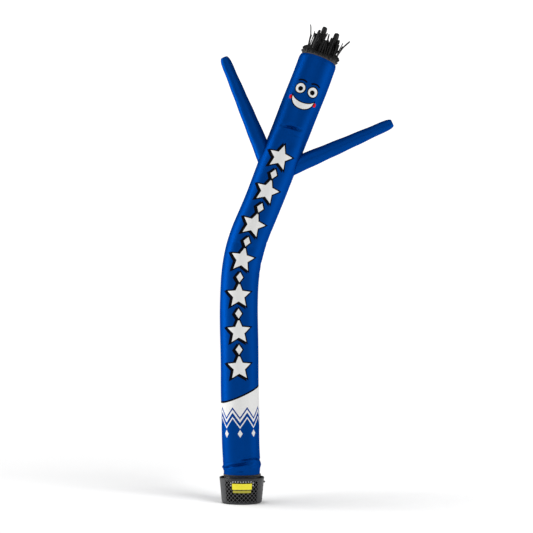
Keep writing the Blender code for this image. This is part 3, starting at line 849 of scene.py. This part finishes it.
def outside_tube(points):
    """How far points lie outside the tube's cloth, near the sleeves' roots."""
    along = np.full(points.shape[:-1], TUBE_LENGTH - ARM_BELOW_TOP)
    for _ in range(3):
        centre, right, back, up = frames(along)
        along = along + ((points - centre) * up).sum(-1)
    centre, right, back, up = frames(along)
    reach = points - centre
    turn = np.arctan2((reach * right).sum(-1), -(reach * back).sum(-1))
    return np.linalg.norm(reach, axis=-1) - tube_radius(along, turn)


def arm_root(name, turn):
    """The share of a sleeve's length at which each line along it leaves the tube's cloth."""
    low, high = np.full(turn.shape, -0.19), np.full(turn.shape, 0.30)
    for _ in range(24):
        middle = (low + high) / 2
        out = outside_tube(arm_points(name, middle, turn)) > ARM_GAP
        low, high = np.where(out, low, middle), np.where(out, middle, high)
    return high


# Pieces of cloth


def make_tube(cloth):
    """The tube: one sheet with a hole behind each sleeve."""
    along = tube_rows()
    turn = np.linspace(-math.pi, math.pi, TUBE_COLUMNS, endpoint=False)
    grid = np.meshgrid(along, turn, indexing="ij")
    points = tube_points(*grid)
    keep = np.ones((len(along) - 1, TUBE_COLUMNS), dtype=bool)
    for arm in ARMS.values():
        start, across, front = arm_axis(arm, np.array([0.0]))
        heading = np.cross(front[0], across[0])
        reach = points - start[0]
        off_axis = np.linalg.norm(np.cross(reach, heading), axis=-1)
        near = np.linalg.norm(reach, axis=-1) < ARM_HOLE_REACH
        hole = (off_axis < ARM_HOLE_RADIUS) & near
        shifted = np.roll(hole, -1, axis=1)
        keep &= ~(hole[:-1] & hole[1:] & shifted[:-1] & shifted[1:])
    piece = lofted("dancer_tube", points, cloth, keep=keep)
    layer = piece.data.uv_layers["cloth"].data
    loops = np.array([loop.vertex_index for loop in piece.data.loops]) // TUBE_COLUMNS
    uv = np.zeros(len(layer) * 2, dtype=np.float32)
    layer.foreach_get("uv", uv)
    uv[1::2] = along[loops] / TUBE_LENGTH
    layer.foreach_set("uv", uv)
    return wall(piece, CLOTH)


def make_arm(name, cloth):
    turn = np.linspace(-math.pi, math.pi, ARM_COLUMNS, endpoint=False)
    root = arm_root(name, turn)
    step = np.linspace(0.0, 1.0, ARM_ROWS) ** 0.9
    share = root[None, :] + (1.0 - root[None, :]) * step[:, None]
    points = arm_points(name, share, np.broadcast_to(turn, share.shape))
    return wall(lofted(f"{name}_cloth", points[:, ::-1], cloth), CLOTH)


def rope(name, path, radius, material, sides=8):
    """A thin round bead along a closed path of points."""
    heading = np.roll(path, -1, 0) - np.roll(path, 1, 0)
    heading /= np.linalg.norm(heading, axis=1)[:, None]
    side = np.cross(heading, path - path.mean(0))
    side /= np.linalg.norm(side, axis=1)[:, None]
    other = np.cross(side, heading)
    turns = (np.arange(sides) * math.tau / sides)[None, :, None]
    ring = side[:, None] * np.cos(turns) + other[:, None] * np.sin(turns)
    points = (path[:, None] + ring * radius).reshape(-1, 3)
    faces = [(a, d, c, b) for a, b, c, d in ring_faces(len(path), sides, closed=True)]
    return add_mesh(name, points, faces, material, uvs=[(0.5, 0.5)] * 4 * len(faces))


def make_back_seam(cloth):
    """The lapped seam that closes the tube, down its back."""
    along = np.linspace(BACK_SEAM_FOOT, BACK_SEAM_TOP, 330)
    turn, lift = np.array(BACK_SEAM).T
    grid = np.meshgrid(along, math.pi + turn, indexing="ij")
    points = tube_points(*grid, np.broadcast_to(lift, grid[0].shape))
    columns = len(BACK_SEAM)
    faces, uvs = [], []
    for row, (low, high) in enumerate(zip(along / TUBE_LENGTH, along[1:] / TUBE_LENGTH)):
        for a in range(row * columns, (row + 1) * columns - 1):
            faces.append((a, a + 1, a + columns + 1, a + columns))
            uvs += [(0.0, low), (0.002, low), (0.002, high), (0.0, high)]
    return wall(add_mesh("back_seam", points.reshape(-1, 3), faces, cloth, uvs=uvs), 0.0008)


# Shape trees


def new_tree(name, **sockets):
    """An empty shape tree with inputs of the given names and kinds, and its inputs' values."""
    tree = bpy.data.node_groups.new(name, "GeometryNodeTree")
    face = tree.interface
    face.new_socket("Geometry", in_out="OUTPUT", socket_type="NodeSocketGeometry")
    for title, kind in {"Geometry": "Geometry", **sockets, "material": "Material"}.items():
        face.new_socket(title, in_out="INPUT", socket_type=f"NodeSocket{kind}")
    return tree, tree.nodes.new("NodeGroupInput").outputs


def attribute(tree, title, kind="FLOAT_VECTOR"):
    return output(tree, "GeometryNodeInputNamedAttribute", {"Name": title}, data_type=kind)


def on_points(tree, points, instance, **settings):
    """Instances on points; the settings are sockets of the node, by name."""
    inputs = {"Points": points, "Instance": instance, **settings}
    return output(tree, "GeometryNodeInstanceOnPoints", inputs)


def vector_math(tree, operation, inputs):
    return output(tree, "ShaderNodeVectorMath", inputs, operation=operation)


def end_tree(tree, geometry, material):
    """Realizes, smooths and paints what the tree has made."""
    real = output(tree, "GeometryNodeRealizeInstances", {0: geometry})
    smooth = output(tree, "GeometryNodeSetShadeSmooth", {0: real})
    painted = output(tree, "GeometryNodeSetMaterial", {0: smooth, "Material": material})
    add_node(tree, "NodeGroupOutput", {0: painted})


def grown(piece, tree, **values):
    """The mesh that a shape tree makes from a piece, with its inputs set by name."""
    modifier = piece.modifiers.new(tree.name, "NODES")
    modifier.node_group = tree
    for item in tree.interface.items_tree:
        if item.in_out == "INPUT" and item.name in values:
            modifier[item.identifier] = values[item.name]
    return finished(piece)


def bead_tree():
    """Small rounded beads on points, each turned to face its own way: stitches and screws."""
    sizes = {"half_width": "Float", "half_length": "Float", "sides": "Int", "rings": "Int"}
    tree, given = new_tree("beads on points", **sizes)
    shape = {"Segments": given["sides"], "Rings": given["rings"], "Radius": 1.0}
    sphere = output(tree, "GeometryNodeMeshUVSphere", shape)
    facing = {"Vector": attribute(tree, "facing")}
    rotation = output(tree, "FunctionNodeAlignRotationToVector", facing, axis="Z")
    width, length = given["half_width"], given["half_length"]
    scale = output(tree, "ShaderNodeCombineXYZ", {0: width, 1: width, 2: length})
    beads_laid = on_points(tree, given["Geometry"], sphere, Rotation=rotation, Scale=scale)
    end_tree(tree, beads_laid, given["material"])
    return tree


def beads(name, places, facings, tree, material, half_width, half_length, sides=6, rings=3):
    piece = marked_points(name, places, facing=facings)
    sizes = {"half_width": half_width, "half_length": half_length, "sides": sides, "rings": rings}
    return grown(piece, tree, material=material, **sizes)


def evenly(path, pitch):
    """Points every pitch along a path, and the way that the path runs there."""
    steps = np.linalg.norm(np.diff(path, axis=0), axis=1)
    travelled = np.concatenate(([0.0], np.cumsum(steps)))
    places = np.arange(pitch / 2, travelled[-1], pitch)

    def at(travel):
        return np.stack([np.interp(travel, travelled, path[:, a]) for a in range(3)], -1)

    return at(places), at(places + 1e-3) - at(places - 1e-3)


def make_stitching(tree, thread):
    """Rows of stitches down the back seam, round the hems and round the sleeves' roots."""
    round_turn = np.linspace(-math.pi, math.pi, 241)
    paths = []
    along = np.linspace(0.060, TUBE_LENGTH - 0.012, 900)
    for side in SEAM_STITCHES:
        paths.append(tube_points(along, np.full(along.shape, math.pi + side), 0.0016))
    for below in HEM_STITCHES:
        height = np.full(round_turn.shape, TUBE_LENGTH - below)
        paths.append(tube_points(height, round_turn, 0.0004))
    for name in ARMS:
        root = arm_root(name, round_turn)
        shares = [root + past for past in ROOT_STITCHES]
        shares += [np.full(round_turn.shape, share) for share in MOUTH_STITCHES]
        paths += [arm_points(name, share, round_turn, 0.0003) for share in shares]
    runs = [evenly(path, STITCH_PITCH) for path in paths]
    places, facings = (np.concatenate([run[a] for run in runs]) for a in range(2))
    size = STITCH_HALF_WIDTH, STITCH_HALF_LENGTH
    return beads("stitching", places, facings, tree, thread, *size)


# Crown


def crown_frame():
    centre, right, back, up = frames(TUBE_LENGTH)
    return centre, right, -back, up


def make_crown_band(cloth, binding):
    """The pleated band in the tube's top, which turns over into the strips' bed."""
    centre, right, front, up = crown_frame()
    rows = np.linspace(0.0, len(CROWN_PROFILE) - 1.0, CROWN_ROWS)
    turn = np.linspace(-math.pi, math.pi, CROWN_COLUMNS, endpoint=False)
    knots = range(len(CROWN_PROFILE))
    radius, height, pleat, flare = (
        np.interp(rows, knots, column)[:, None] for column in zip(*CROWN_PROFILE)
    )
    row, around = np.meshgrid(rows, turn, indexing="ij")
    side = np.abs(np.sin(around)) ** 4
    phase = CROWN_PLEATS * around + 1.7 * np.sin(3 * around + 0.6) + 1.1 * np.sin(7 * around)
    phase = phase + 0.35 * np.sin(row * 0.9 + 4 * around)
    depth = 0.62 + 0.38 * np.sin(5 * around + 2.0) * np.sin(11 * around + 0.7) + 0.5 * side
    wave = np.arcsin(0.94 * np.sin(phase)) / (math.pi / 2)
    spread = radius + flare * side + pleat * depth * wave
    lift = height * np.where(height > 0.02, 0.55 + 0.60 * side, 1.0)
    lift = lift + (0.55 + side) * pleat * np.sin(2 * around + 0.8 + phase / 2)
    outwards = right * np.sin(around)[..., None] + front * np.cos(around)[..., None]
    points = centre + outwards * spread[..., None] + up * lift[..., None]
    piece = lofted("crown_band", points, cloth, crease=60.0)
    piece.data.materials.append(binding)
    for face in piece.data.polygons[: BINDING_ROWS * CROWN_COLUMNS]:
        face.material_index = 1
    return wall(piece, 0.0015)


def strip_tree():
    """Upright ribbons on points, each with its own width, height, turn, lean and curl."""
    tree, given = new_tree("ribbons on points", segments="Int", curl="Float")
    grid = {"Size X": 1.0, "Size Y": 1.0, "Vertices X": 3, "Vertices Y": given["segments"]}
    flat = output(tree, "GeometryNodeMeshGrid", grid)
    place = output(tree, "GeometryNodeInputPosition")
    parts = add_node(tree, "ShaderNodeSeparateXYZ", {0: place}).outputs
    across, share = Field(tree, parts[0]), Field(tree, parts[1]) + 0.5
    # narrower at the cut end, and a little hollow across
    taper = (share - 0.93).run("MAXIMUM", 0.0) * -2.5 + 1.0
    cup = across * across * 0.10
    standing = output(tree, "ShaderNodeCombineXYZ", {0: across * taper, 1: cup, 2: share})
    stood = output(tree, "GeometryNodeSetPosition", {0: flat, "Position": standing})
    height = {0: stood, "Name": "share", "Value": parts[2]}
    marked = output(
        tree, "GeometryNodeStoreNamedAttribute", height, data_type="FLOAT", domain="POINT"
    )
    turn = output(tree, "FunctionNodeEulerToRotation", {0: attribute(tree, "turned")})
    size = attribute(tree, "size")
    ribbons = on_points(tree, given["Geometry"], marked, Rotation=turn, Scale=size)
    real = output(tree, "GeometryNodeRealizeInstances", {0: ribbons})
    share = Field(tree, attribute(tree, "share", "FLOAT"))
    wave = add_node(tree, "ShaderNodeTexNoise", {"Scale": 11.0, "Detail": 1.0}).outputs["Color"]
    wave = vector_math(tree, "SUBTRACT", {0: wave, 1: (0.5, 0.5, 0.5)})
    curl = share * Field(tree, given["curl"]) * 4.0
    wave = vector_math(tree, "SCALE", {0: wave, "Scale": curl})
    lean = vector_math(tree, "SCALE", {0: attribute(tree, "lean"), "Scale": share * share})
    offset = vector_math(tree, "ADD", {0: wave, 1: lean})
    bent = output(tree, "GeometryNodeSetPosition", {0: real, "Offset": offset})
    end_tree(tree, bent, given["material"])
    return tree


def make_strips(cloth):
    """The crown's cut strips: a close bundle, with the tall and the stray ones given one by one."""
    centre, right, front, up = crown_frame()
    draw = random.Random(SEED)
    bed_radius, bed_height = zip(*sorted(row[:2] for row in CROWN_PROFILE[6:]))
    places, sizes, turns, leans = [], [], [], []

    def stand(strip, yaw, fall):
        reach = math.hypot(strip.right, strip.front)
        foot = 0.55 * np.interp(reach, bed_radius, bed_height) - 0.006
        places.append(centre + right * strip.right + front * strip.front + up * foot)
        sizes.append((strip.width, 1.0, strip.tip - foot))
        across = right * math.cos(yaw) + front * math.sin(yaw)
        turns.append(Matrix((across, np.cross(up, across), up)).transposed().to_euler())
        leans.append(right * strip.lean + front * fall)

    for _ in range(STRIP_COUNT):
        turn, reach = draw.uniform(-math.pi, math.pi), math.sqrt(draw.uniform(0.0, 1.0))
        across = TUFT_MIDDLE + TUFT_HALF_WIDTH * reach * math.sin(turn)
        tip = between(TUFT_HEIGHTS, across) * draw.uniform(0.72, 1.0)
        width = STRIP_WIDTH * draw.uniform(0.6, 1.2)
        front_way = TUFT_HALF_DEPTH * reach * math.cos(turn)
        strip = Strip(across, front_way, tip, width, draw.gauss(0.0, 0.014))
        stand(strip, draw.gauss(0.0, 0.8), draw.gauss(0.0, 0.012))
    for strip in TALL_STRIPS:
        stand(strip, draw.gauss(0.0, 0.10), 0.0)
    piece = marked_points("crown_strips", places, size=sizes, turned=turns, lean=leans)
    grown(piece, strip_tree(), segments=17, curl=0.005, material=cloth)
    return wall(piece, STRIP_THICK)


# Blower


def tub_radius(height):
    return TUB_FOOT_RADIUS + TUB_SLOPE * (height - TUB_CORNER)


def cell(name, holed):
    """One flat cell of the tub's wall, 1 wide and 1 high and 1 thick.

    A holed cell has a diamond hole in its middle and a quarter of one in each corner.
    """
    points, faces = [], []
    rim, hole = 0.5 * (1.0 - OPEN_SHARE), 0.5 * OPEN_SHARE
    for x, z in ((-1, 1), (1, 1), (1, -1), (-1, -1)):
        if holed:
            band = [(0.5, 0), (0.5, rim), (rim, 0.5), (0, 0.5), (0, hole), (hole, 0)]
        else:
            band = [(0.5, 0), (0.5, 0.5), (0, 0.5), (0, 0)]
        band = [(x * u, z * v) for u, v in band]
        if x * z > 0:
            band.reverse()
        start, count = len(points), len(band)
        points += [(u, depth, v) for depth in (0.0, 1.0) for u, v in band]
        faces.append(tuple(range(start + count - 1, start - 1, -1)))
        faces.append(tuple(range(start + count, start + 2 * count)))
        for k in range(count) if holed else ():
            n = (k + 1) % count
            # a wall stands only along a hole's edge, not where quarters or cells meet
            ends = [band[k], band[n]]
            corner_cut = all(u and v for u, v in ends)
            middle_cut = not any(0.5 in (abs(u), abs(v)) for u, v in ends)
            if corner_cut or middle_cut:
                faces.append((start + k, start + n, start + count + n, start + count + k))
    mesh = bpy.data.meshes.new(name)
    mesh.from_pydata(points, [], faces)
    return placed(name, mesh)


def wall_tree():
    """Cells laid in rows and columns, and bent round the tub's tapered wall."""
    tree, given = new_tree("cells round a tapered wall", columns="Int", first="Float")
    columns, first = Field(tree, given["columns"]), Field(tree, given["first"])
    index = Field(tree, output(tree, "GeometryNodeInputIndex"))
    row = (index / columns).run("FLOOR")
    place = output(tree, "ShaderNodeCombineXYZ", {0: index - row * columns + first, 2: row})
    count = columns * SCREEN_ROWS
    points = output(tree, "GeometryNodePoints", {"Count": count, "Position": place})
    laid = on_points(tree, points, given["Geometry"])
    real = output(tree, "GeometryNodeRealizeInstances", {0: laid})
    sewn = output(tree, "GeometryNodeMergeByDistance", {0: real, "Distance": 0.01})
    place = output(tree, "GeometryNodeInputPosition")
    parts = add_node(tree, "ShaderNodeSeparateXYZ", {0: place}).outputs
    across, depth, up = (Field(tree, part) for part in parts)
    turn = across * (math.tau / CELLS_ROUND)
    height = (up + 0.5) * SCREEN_ROW + SCREEN_FOOT
    radius = height * TUB_SLOPE + tub_radius(0.0) - depth * (TUB_WALL / 2)
    bent = {0: radius * turn.run("SINE"), 1: radius * turn.run("COSINE") * -1.0, 2: height}
    bent = output(tree, "ShaderNodeCombineXYZ", bent)
    done = output(tree, "GeometryNodeSetPosition", {0: sewn, "Position": bent})
    end_tree(tree, done, given["material"])
    return tree


def make_tub(coat, mesh):
    """The tub: two perforated screens, plain sides, a rounded foot and a flat underside."""
    tree = wall_tree()
    plain_cells = (CELLS_ROUND - 2 * SCREEN_CELLS) // 2
    pieces = []
    first = -(SCREEN_CELLS - 1) / 2
    for count, holed in ((SCREEN_CELLS, True), (plain_cells, False)) * 2:
        side = cell("tub_wall", holed)
        material = mesh if holed else coat
        pieces.append(grown(side, tree, columns=count, first=first, material=material))
        first += count
    thin = TUB_WALL / 2
    top = SCREEN_FOOT + SCREEN_ROW * SCREEN_ROWS
    band = [(tub_radius(z), z) for z in (top, TUB_HEIGHT)]
    band += [(tub_radius(z) - thin, z) for z in (TUB_HEIGHT, top)]
    pieces.append(turned("tub_band", band, coat))
    corner = [math.radians(a) for a in range(0, 91, 15)]
    centre, inner = TUB_FOOT_RADIUS - TUB_CORNER, TUB_CORNER - thin
    arcs = (TUB_CORNER, corner), (inner, reversed(corner))
    outside, inside_arc = (
        [(centre + size * math.sin(a), TUB_CORNER - size * math.cos(a)) for a in arc]
        for size, arc in arcs
    )
    lip = [(tub_radius(SCREEN_FOOT) - off, SCREEN_FOOT) for off in (0.0, thin)]
    middle = [(0.004, thin), (0.004, 0.0)]
    pieces.append(turned("tub_foot", outside + lip + inside_arc + middle, coat))
    for piece in pieces:
        piece.data.set_sharp_from_angle(angle=math.radians(35))
    return merged("tub", pieces)


def make_rim(coat):
    centre = (TUB_TOP_RADIUS - RIM_INSET, TUB_HEIGHT + RIM_RADIUS)
    turns = [math.tau * k / 16 for k in range(16)]
    profile = [
        (centre[0] + RIM_RADIUS * math.cos(t), centre[1] + RIM_RADIUS * math.sin(t)) for t in turns
    ]
    return turned("rolled_rim", profile, coat, crease=60.0)


def bevelled_ring(inner, outer, foot, top, bevel):
    """A closed profile of a flat ring with its edges taken off."""
    return [
        (inner + bevel, foot),
        (outer - bevel, foot),
        (outer, foot + bevel),
        (outer, top - bevel),
        (outer - bevel, top),
        (inner + bevel, top),
        (inner, top - bevel),
        (inner, foot + bevel),
    ]


def bent_plate(name, half_turn, foot, top, thick, corner, material):
    """A thin plate with round corners, bent round the tub's front."""
    outline = []
    middle, half_height = (foot + top) / 2, (top - foot) / 2
    half_width = math.radians(half_turn) * tub_radius(middle)
    for across, up, start in ((1, -1, 270), (1, 1, 0), (-1, 1, 90), (-1, -1, 180)):
        for k in range(7):
            turn = math.radians(start + 90 * k / 6)
            x = across * (half_width - corner) + corner * math.cos(turn)
            outline.append((x, 0.0, middle + up * (half_height - corner) + corner * math.sin(turn)))
    shape = bmesh.new()
    face = shape.faces.new([shape.verts.new(place) for place in outline])
    bmesh.ops.triangulate(shape, faces=[face])
    strips = 24
    for k in range(1, strips):
        cut = (-half_width + 2 * half_width * k / strips, 0, 0)
        parts = shape.verts[:] + shape.edges[:] + shape.faces[:]
        bmesh.ops.bisect_plane(shape, geom=parts, plane_co=cut, plane_no=(1, 0, 0))
    solid = bmesh.ops.extrude_face_region(shape, geom=shape.faces[:])
    for vertex in solid["geom"]:
        if isinstance(vertex, bmesh.types.BMVert):
            vertex.co.y -= thick
    for vertex in shape.verts:
        radius = tub_radius(vertex.co.z) + 0.0004 - vertex.co.y
        turn = vertex.co.x / tub_radius(middle) + math.radians(LABEL_TURN)
        vertex.co = (radius * math.sin(turn), -radius * math.cos(turn), vertex.co.z)
    bmesh.ops.recalc_face_normals(shape, faces=shape.faces[:])
    return from_bmesh(name, shape, material, 35)


def bevelled_box(name, low, high, bevel, material):
    """A box with rounded edges, between two corners."""
    shape = bmesh.new()
    bmesh.ops.create_cube(shape, size=1.0)
    for vertex in shape.verts:
        vertex.co = (low + high) / 2 + vertex.co * (high - low)
    edges = shape.edges[:]
    bmesh.ops.bevel(shape, geom=edges, offset=bevel, segments=3, profile=0.5, affect="EDGES")
    return from_bmesh(name, shape, material, 40)


def make_buckle(plastic, steel):
    """A cam buckle: two cheeks, two bars and a lever, out from the strap, along it and up."""
    origin = Vector((CUFF_RADIUS + STRAP_THICK + 0.0006, 0.0, (STRAP_FOOT + STRAP_TOP) / 2))
    boxes = (
        ("cheek", (0.0, -0.017, -0.011), (0.0095, -0.0125, 0.011), 0.0012, plastic),
        ("cheek", (0.0, 0.0125, -0.011), (0.0095, 0.017, 0.011), 0.0012, plastic),
        ("bar", (0.001, -0.0135, -0.011), (0.006, 0.0135, -0.0075), 0.0010, plastic),
        ("bar", (0.001, -0.0135, 0.0075), (0.006, 0.0135, 0.011), 0.0010, plastic),
        ("lever", (0.0055, -0.0115, -0.0085), (0.0095, 0.0115, 0.007), 0.0012, steel),
    )
    pieces = [
        bevelled_box(name, origin + Vector(low), origin + Vector(high), bevel, material)
        for name, low, high, bevel, material in boxes
    ]
    return merged("cam_buckle", pieces)


def make_gland(plastic):
    """The round power inlet: a flange, a ribbed nut and a blank end, square to the wall."""
    profile = (  # radius, and distance out from the wall
        (0.0130, 0.0),
        (0.0130, 0.0018),
        (0.0124, 0.0024),
        (0.0105, 0.0024),
        (0.0108, 0.0100),
        (0.0098, 0.0118),
        (0.0082, 0.0118),
        (0.0080, 0.0150),
        (0.0070, 0.0158),
    )
    nut_row, sides = 4, 48
    points = []
    for row, (radius, out) in enumerate(profile):
        for k in range(sides):
            reach = radius * (1.045 if row == nut_row and k % 4 < 2 else 1.0)
            turn = math.tau * k / sides
            points.append((out, reach * math.cos(turn), reach * math.sin(turn)))
    ends = [tuple(reversed(range(sides))), tuple(range(len(points) - sides, len(points)))]
    faces = ring_faces(len(profile), sides) + ends
    piece = add_mesh("power_inlet", points, faces, plastic, 30.0)
    slope = math.atan(TUB_SLOPE)
    level, rise = math.cos(slope), math.sin(slope)
    start = tub_radius(GLAND_HEIGHT) + 0.0003
    for vertex in piece.data.vertices:
        x, y, z = vertex.co
        vertex.co = (start + x * level + z * rise, y, GLAND_HEIGHT - x * rise + z * level)
    return piece


def on_tub(degrees, height):
    """A place on the tub's side, and the way out of it."""
    turn = math.radians(degrees)
    out = np.array((math.sin(turn), -math.cos(turn), SIDE_TILT))
    radius = tub_radius(height)
    return (out[0] * radius, out[1] * radius, height), out


def heads(name, spots, tree, material, rise):
    """Round heads of rivets or bolts on the tub's side, from their turns and heights."""
    places, facings = zip(*(on_tub(*spot) for spot in spots))
    size = HEAD_RADIUS, rise, HEAD_SIDES, HEAD_RINGS
    return beads(name, places, facings, tree, material, *size)


def make_rivets(tree, steel):
    """Small rivets painted near-white as glints: a row above the name plate and two at each of its
    ends.
    """
    row = [RIVET_PITCH * (k - (RIVET_COUNT - 1) / 2) for k in range(RIVET_COUNT)]
    spots = [(LABEL_TURN + turn, RIVET_HEIGHT) for turn in row]
    ends = (-END_RIVET_TURN, END_RIVET_TURN)
    spots += [(LABEL_TURN + turn, z) for turn in ends for z in END_RIVET_HEIGHTS]
    return heads("plate_rivets", spots, tree, steel, RIVET_RISE)


def make_bolts(tree, dark):
    """The dark bolts down the tub's right side seam."""
    return heads("side_bolts", [(BOLT_TURN, z) for z in BOLT_HEIGHTS], tree, dark, BOLT_RISE)


# Stage


def make_stage():
    """The floor, the white surroundings, and two groups that lamps can be kept to.

    The floor and all the rest are lit apart: soft shadows on one, a bright side on the other.
    """
    material = new_material("studio floor", (0.83, 0.83, 0.83), 0.85, specular=0.1)[0]
    corners = ((-300, -60), (300, -60), (300, 600), (-300, 600))
    floor = add_mesh("floor", [(x, y, -0.0008) for x, y in corners], [(0, 1, 2, 3)], material)
    lit = {}
    for name, state in (("floor", "INCLUDE"), ("all but the floor", "EXCLUDE")):
        lit[name] = bpy.data.collections.new(f"lights {name}")
        lit[name].objects.link(floor)
        lit[name].collection_objects[0].light_linking.link_state = state
    world = bpy.data.worlds.new("studio")
    bpy.context.scene.world = world
    world.use_nodes = True
    tree = world.node_tree
    backdrop = tree.nodes["Background"]
    seen = Field(tree, add_node(tree, "ShaderNodeLightPath").outputs["Is Camera Ray"])
    join(tree, (1.0, 1.0, 1.0, 1.0), backdrop.inputs[0])
    join(tree, seen + 0.15, backdrop.inputs[1])
    return lit


def add_lamp(light, rotation, lit):
    lamp = placed(light.name, light)
    lamp.rotation_euler = rotation
    lamp.light_linking.receiver_collection = lit
    return lamp


def add_softbox(name, place, target, size, power, lit):
    """A soft lamp, with its size in metres and its power in watts."""
    light = bpy.data.lights.new(name, "AREA")
    light.shape = "RECTANGLE"
    light.size, light.size_y = size
    light.energy = power
    heading = Vector(target) - Vector(place)
    add_lamp(light, heading.to_track_quat("-Z", "Y").to_euler(), lit).location = place


def add_sun(name, turn, height, strength, spread, lit):
    """Even light from a turn round the dancer and a height above the floor, in degrees."""
    sun = bpy.data.lights.new(name, "SUN")
    sun.energy = strength
    sun.angle = math.radians(spread)
    add_lamp(sun, (math.radians(90 - height), 0.0, math.radians(turn)), lit)


def light_and_camera(lit):
    off_floor, floor = lit["all but the floor"], lit["floor"]
    add_softbox("left softbox", (-7.3, 1.0, 4.5), (0.3, 0.0, 4.5), (3.5, 16.0), 930, off_floor)
    add_softbox("right softbox", (7.0, -0.6, 2.3), (0.3, 0.0, 2.3), (4.0, 11.0), 220, off_floor)
    add_sun("high window", -90, 81, 2.20, 24, floor)
    add_sun("right window", 39, 43, 2.00, 28, floor)
    add_sun("overhead", 0, 88, 0.36, 70, off_floor)
    add_sun("front window", 0, 38, 0.85, 60, off_floor)
    camera = bpy.data.cameras.new("camera")
    camera.sensor_width = SENSOR_WIDTH
    camera.lens = CAMERA_LENS
    camera.clip_end = 1000.0
    stand = placed("camera", camera)
    stand.location = CAMERA_PLACE
    stand.rotation_euler = (math.radians(90), 0.0, 0.0)
    bpy.context.scene.camera = stand
    bpy.context.scene.view_settings.view_transform = "Standard"
    bpy.context.scene.view_settings.look = "None"


def make_sleeve(name, cloth):
    """A sleeve, with the beads of the seam at its root and of the hem at its mouth."""
    turn = np.linspace(-math.pi, math.pi, 120, endpoint=False)
    root = arm_points(name, arm_root(name, turn) + 0.002, turn, 0.0)
    mouth = arm_points(name, np.full(turn.shape, 0.9985), turn, -0.001)
    parts = [
        make_arm(name, cloth),
        rope("root_bead", root, 0.0026, cloth),
        rope("mouth_bead", mouth, 0.0024, cloth),
    ]
    return merged(f"{name}_sleeve", parts)


def dress_dancer(bead, tube_width):
    """The tube with its seam and stitching, the sleeves and the crown."""
    printed = nylon("printed nylon", tube_width, TUBE_LENGTH, with_print=True)
    plain = nylon("plain nylon", 0.60, ARM_LENGTH)
    roughness, grain = (0.42, 0.34, 0.52), (60.0, 3.0, 0.003, 0.5)
    # the binding's brown is partly its own colour and partly painted sheen, lighter than the black
    # cloth
    dark, brown_and_sheen = (0.0075, 0.0073, 0.0078), (0.050, 0.042, 0.039)
    black = finish("crown nylon", dark, 0.45, 22.0, roughness, grain, specular=0.25)
    binding = finish("crown binding", brown_and_sheen, 0.35, 30.0, roughness, (90.0, 2.0, 0.002, 0.4))
    tube = fit(make_tube(printed), "dancer_nylon", "body_tube")
    seam = fit(make_back_seam(printed), "dancer_nylon")
    sleeves = [fit(make_sleeve(name, plain), "dancer_nylon", name) for name in ARMS]
    stitching = fit(make_stitching(bead, plain), "dancer_nylon")
    crown = merged("crown", [make_crown_band(black, binding), make_strips(black)])
    fit(crown, "crown_nylon", "hair_crown")
    return tube, sleeves, crown, seam, stitching


def dress_blower(bead):
    """The tub, its rings, the strap with its buckle, the inlet, the plates and fixings."""
    coat = powder_coat("dark grey powder coat", (0.024, 0.025, 0.028))
    dark = powder_coat("black powder coat", (0.012, 0.012, 0.013))
    plastic = moulded("black plastic", (0.012, 0.012, 0.013))
    # the mesh is lighter than the coat: partly a brighter steel, partly a painted highlight for the
    # light its webs catch
    mesh = moulded("grey steel mesh", (0.055, 0.055, 0.058), 0.34)
    # near-white rivets: painted highlight, standing for bright glints on the tub round the name
    # plate
    painted_glint_white = moulded("bright glint_painted steel", (0.80, 0.80, 0.80), 0.35)
    zinc = (0.45, 0.46, 0.48)
    steel = finish("zinc plated steel", zinc, 0.25, 80.0, (0.3, 0.22, 0.42), metallic=1.0)

    fit(make_tub(coat, mesh), "tub_steel", "blower_tub")
    fit(make_rim(coat), "tub_steel", "tub_rim")
    deck_edge, deck_top = tub_radius(DECK_HEIGHT) - TUB_WALL / 2, DECK_HEIGHT + DECK_THICK
    deck = (DECK_HOLE_RADIUS, deck_edge, DECK_HEIGHT, deck_top, 0.0006)
    collar = (COLLAR_RADIUS - COLLAR_WALL, COLLAR_RADIUS, deck_top, COLLAR_TOP, 0.0008)
    inner = CUFF_RADIUS + 0.0012
    strap = (inner, inner + STRAP_THICK, STRAP_FOOT, STRAP_TOP, 0.0005)
    for name, ring, material, slot, node in (
        ("deck_ring", deck, dark, "deck_steel", "blower_deck"),
        ("collar_ring", collar, coat, "collar_steel", "outlet_collar"),
        ("strap", strap, webbing(), "cuff_webbing", "cuff_strap"),
    ):
        fit(turned(name, bevelled_ring(*ring), material), slot, node)
    fit(make_buckle(plastic, steel), "buckle_plastic", "strap_buckle")
    fit(make_gland(plastic), "gland_plastic", "cable_gland")
    label = (LABEL_HALF_TURN, LABEL_FOOT, LABEL_TOP, PLATE_THICK, 0.004)
    strip = (STRIP_HALF_TURN, STRIP_FOOT, STRIP_TOP, PLATE_THICK, 0.003)
    for name, node, shape, enamel, colour in (
        ("name_plate", "label_plate", label, "yellow enamel", (0.93, 0.83, 0.02)),
        ("lower_plate", "label_strip", strip, "dull yellow enamel", (0.42, 0.38, 0.02)),
    ):
        material = finish(enamel, colour, 0.04, 60.0, (0.32, 0.26, 0.40))
        fit(bent_plate(name, *shape, material), "label_plate", node)
    fit(make_rivets(bead, painted_glint_white), "label_plate")
    fit(make_bolts(bead, dark), "tub_steel")
    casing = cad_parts["fan_casing"]
    for slot in casing.material_slots:
        # the casing's black plastic, made darker and duller than elsewhere: partly painted shade
        # for the tub's inside seen through the holes
        slot.material = new_material("casing plastic", (0.003, 0.003, 0.003), 0.7, specular=0.05)[0]


def main():
    light_and_camera(make_stage())
    bead = bead_tree()
    tube_width = math.tau * FLAT_RADIUS
    tube, sleeves, crown, seam, stitching = dress_dancer(bead, tube_width)
    dress_blower(bead)

    for sleeve in sleeves:
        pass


main()
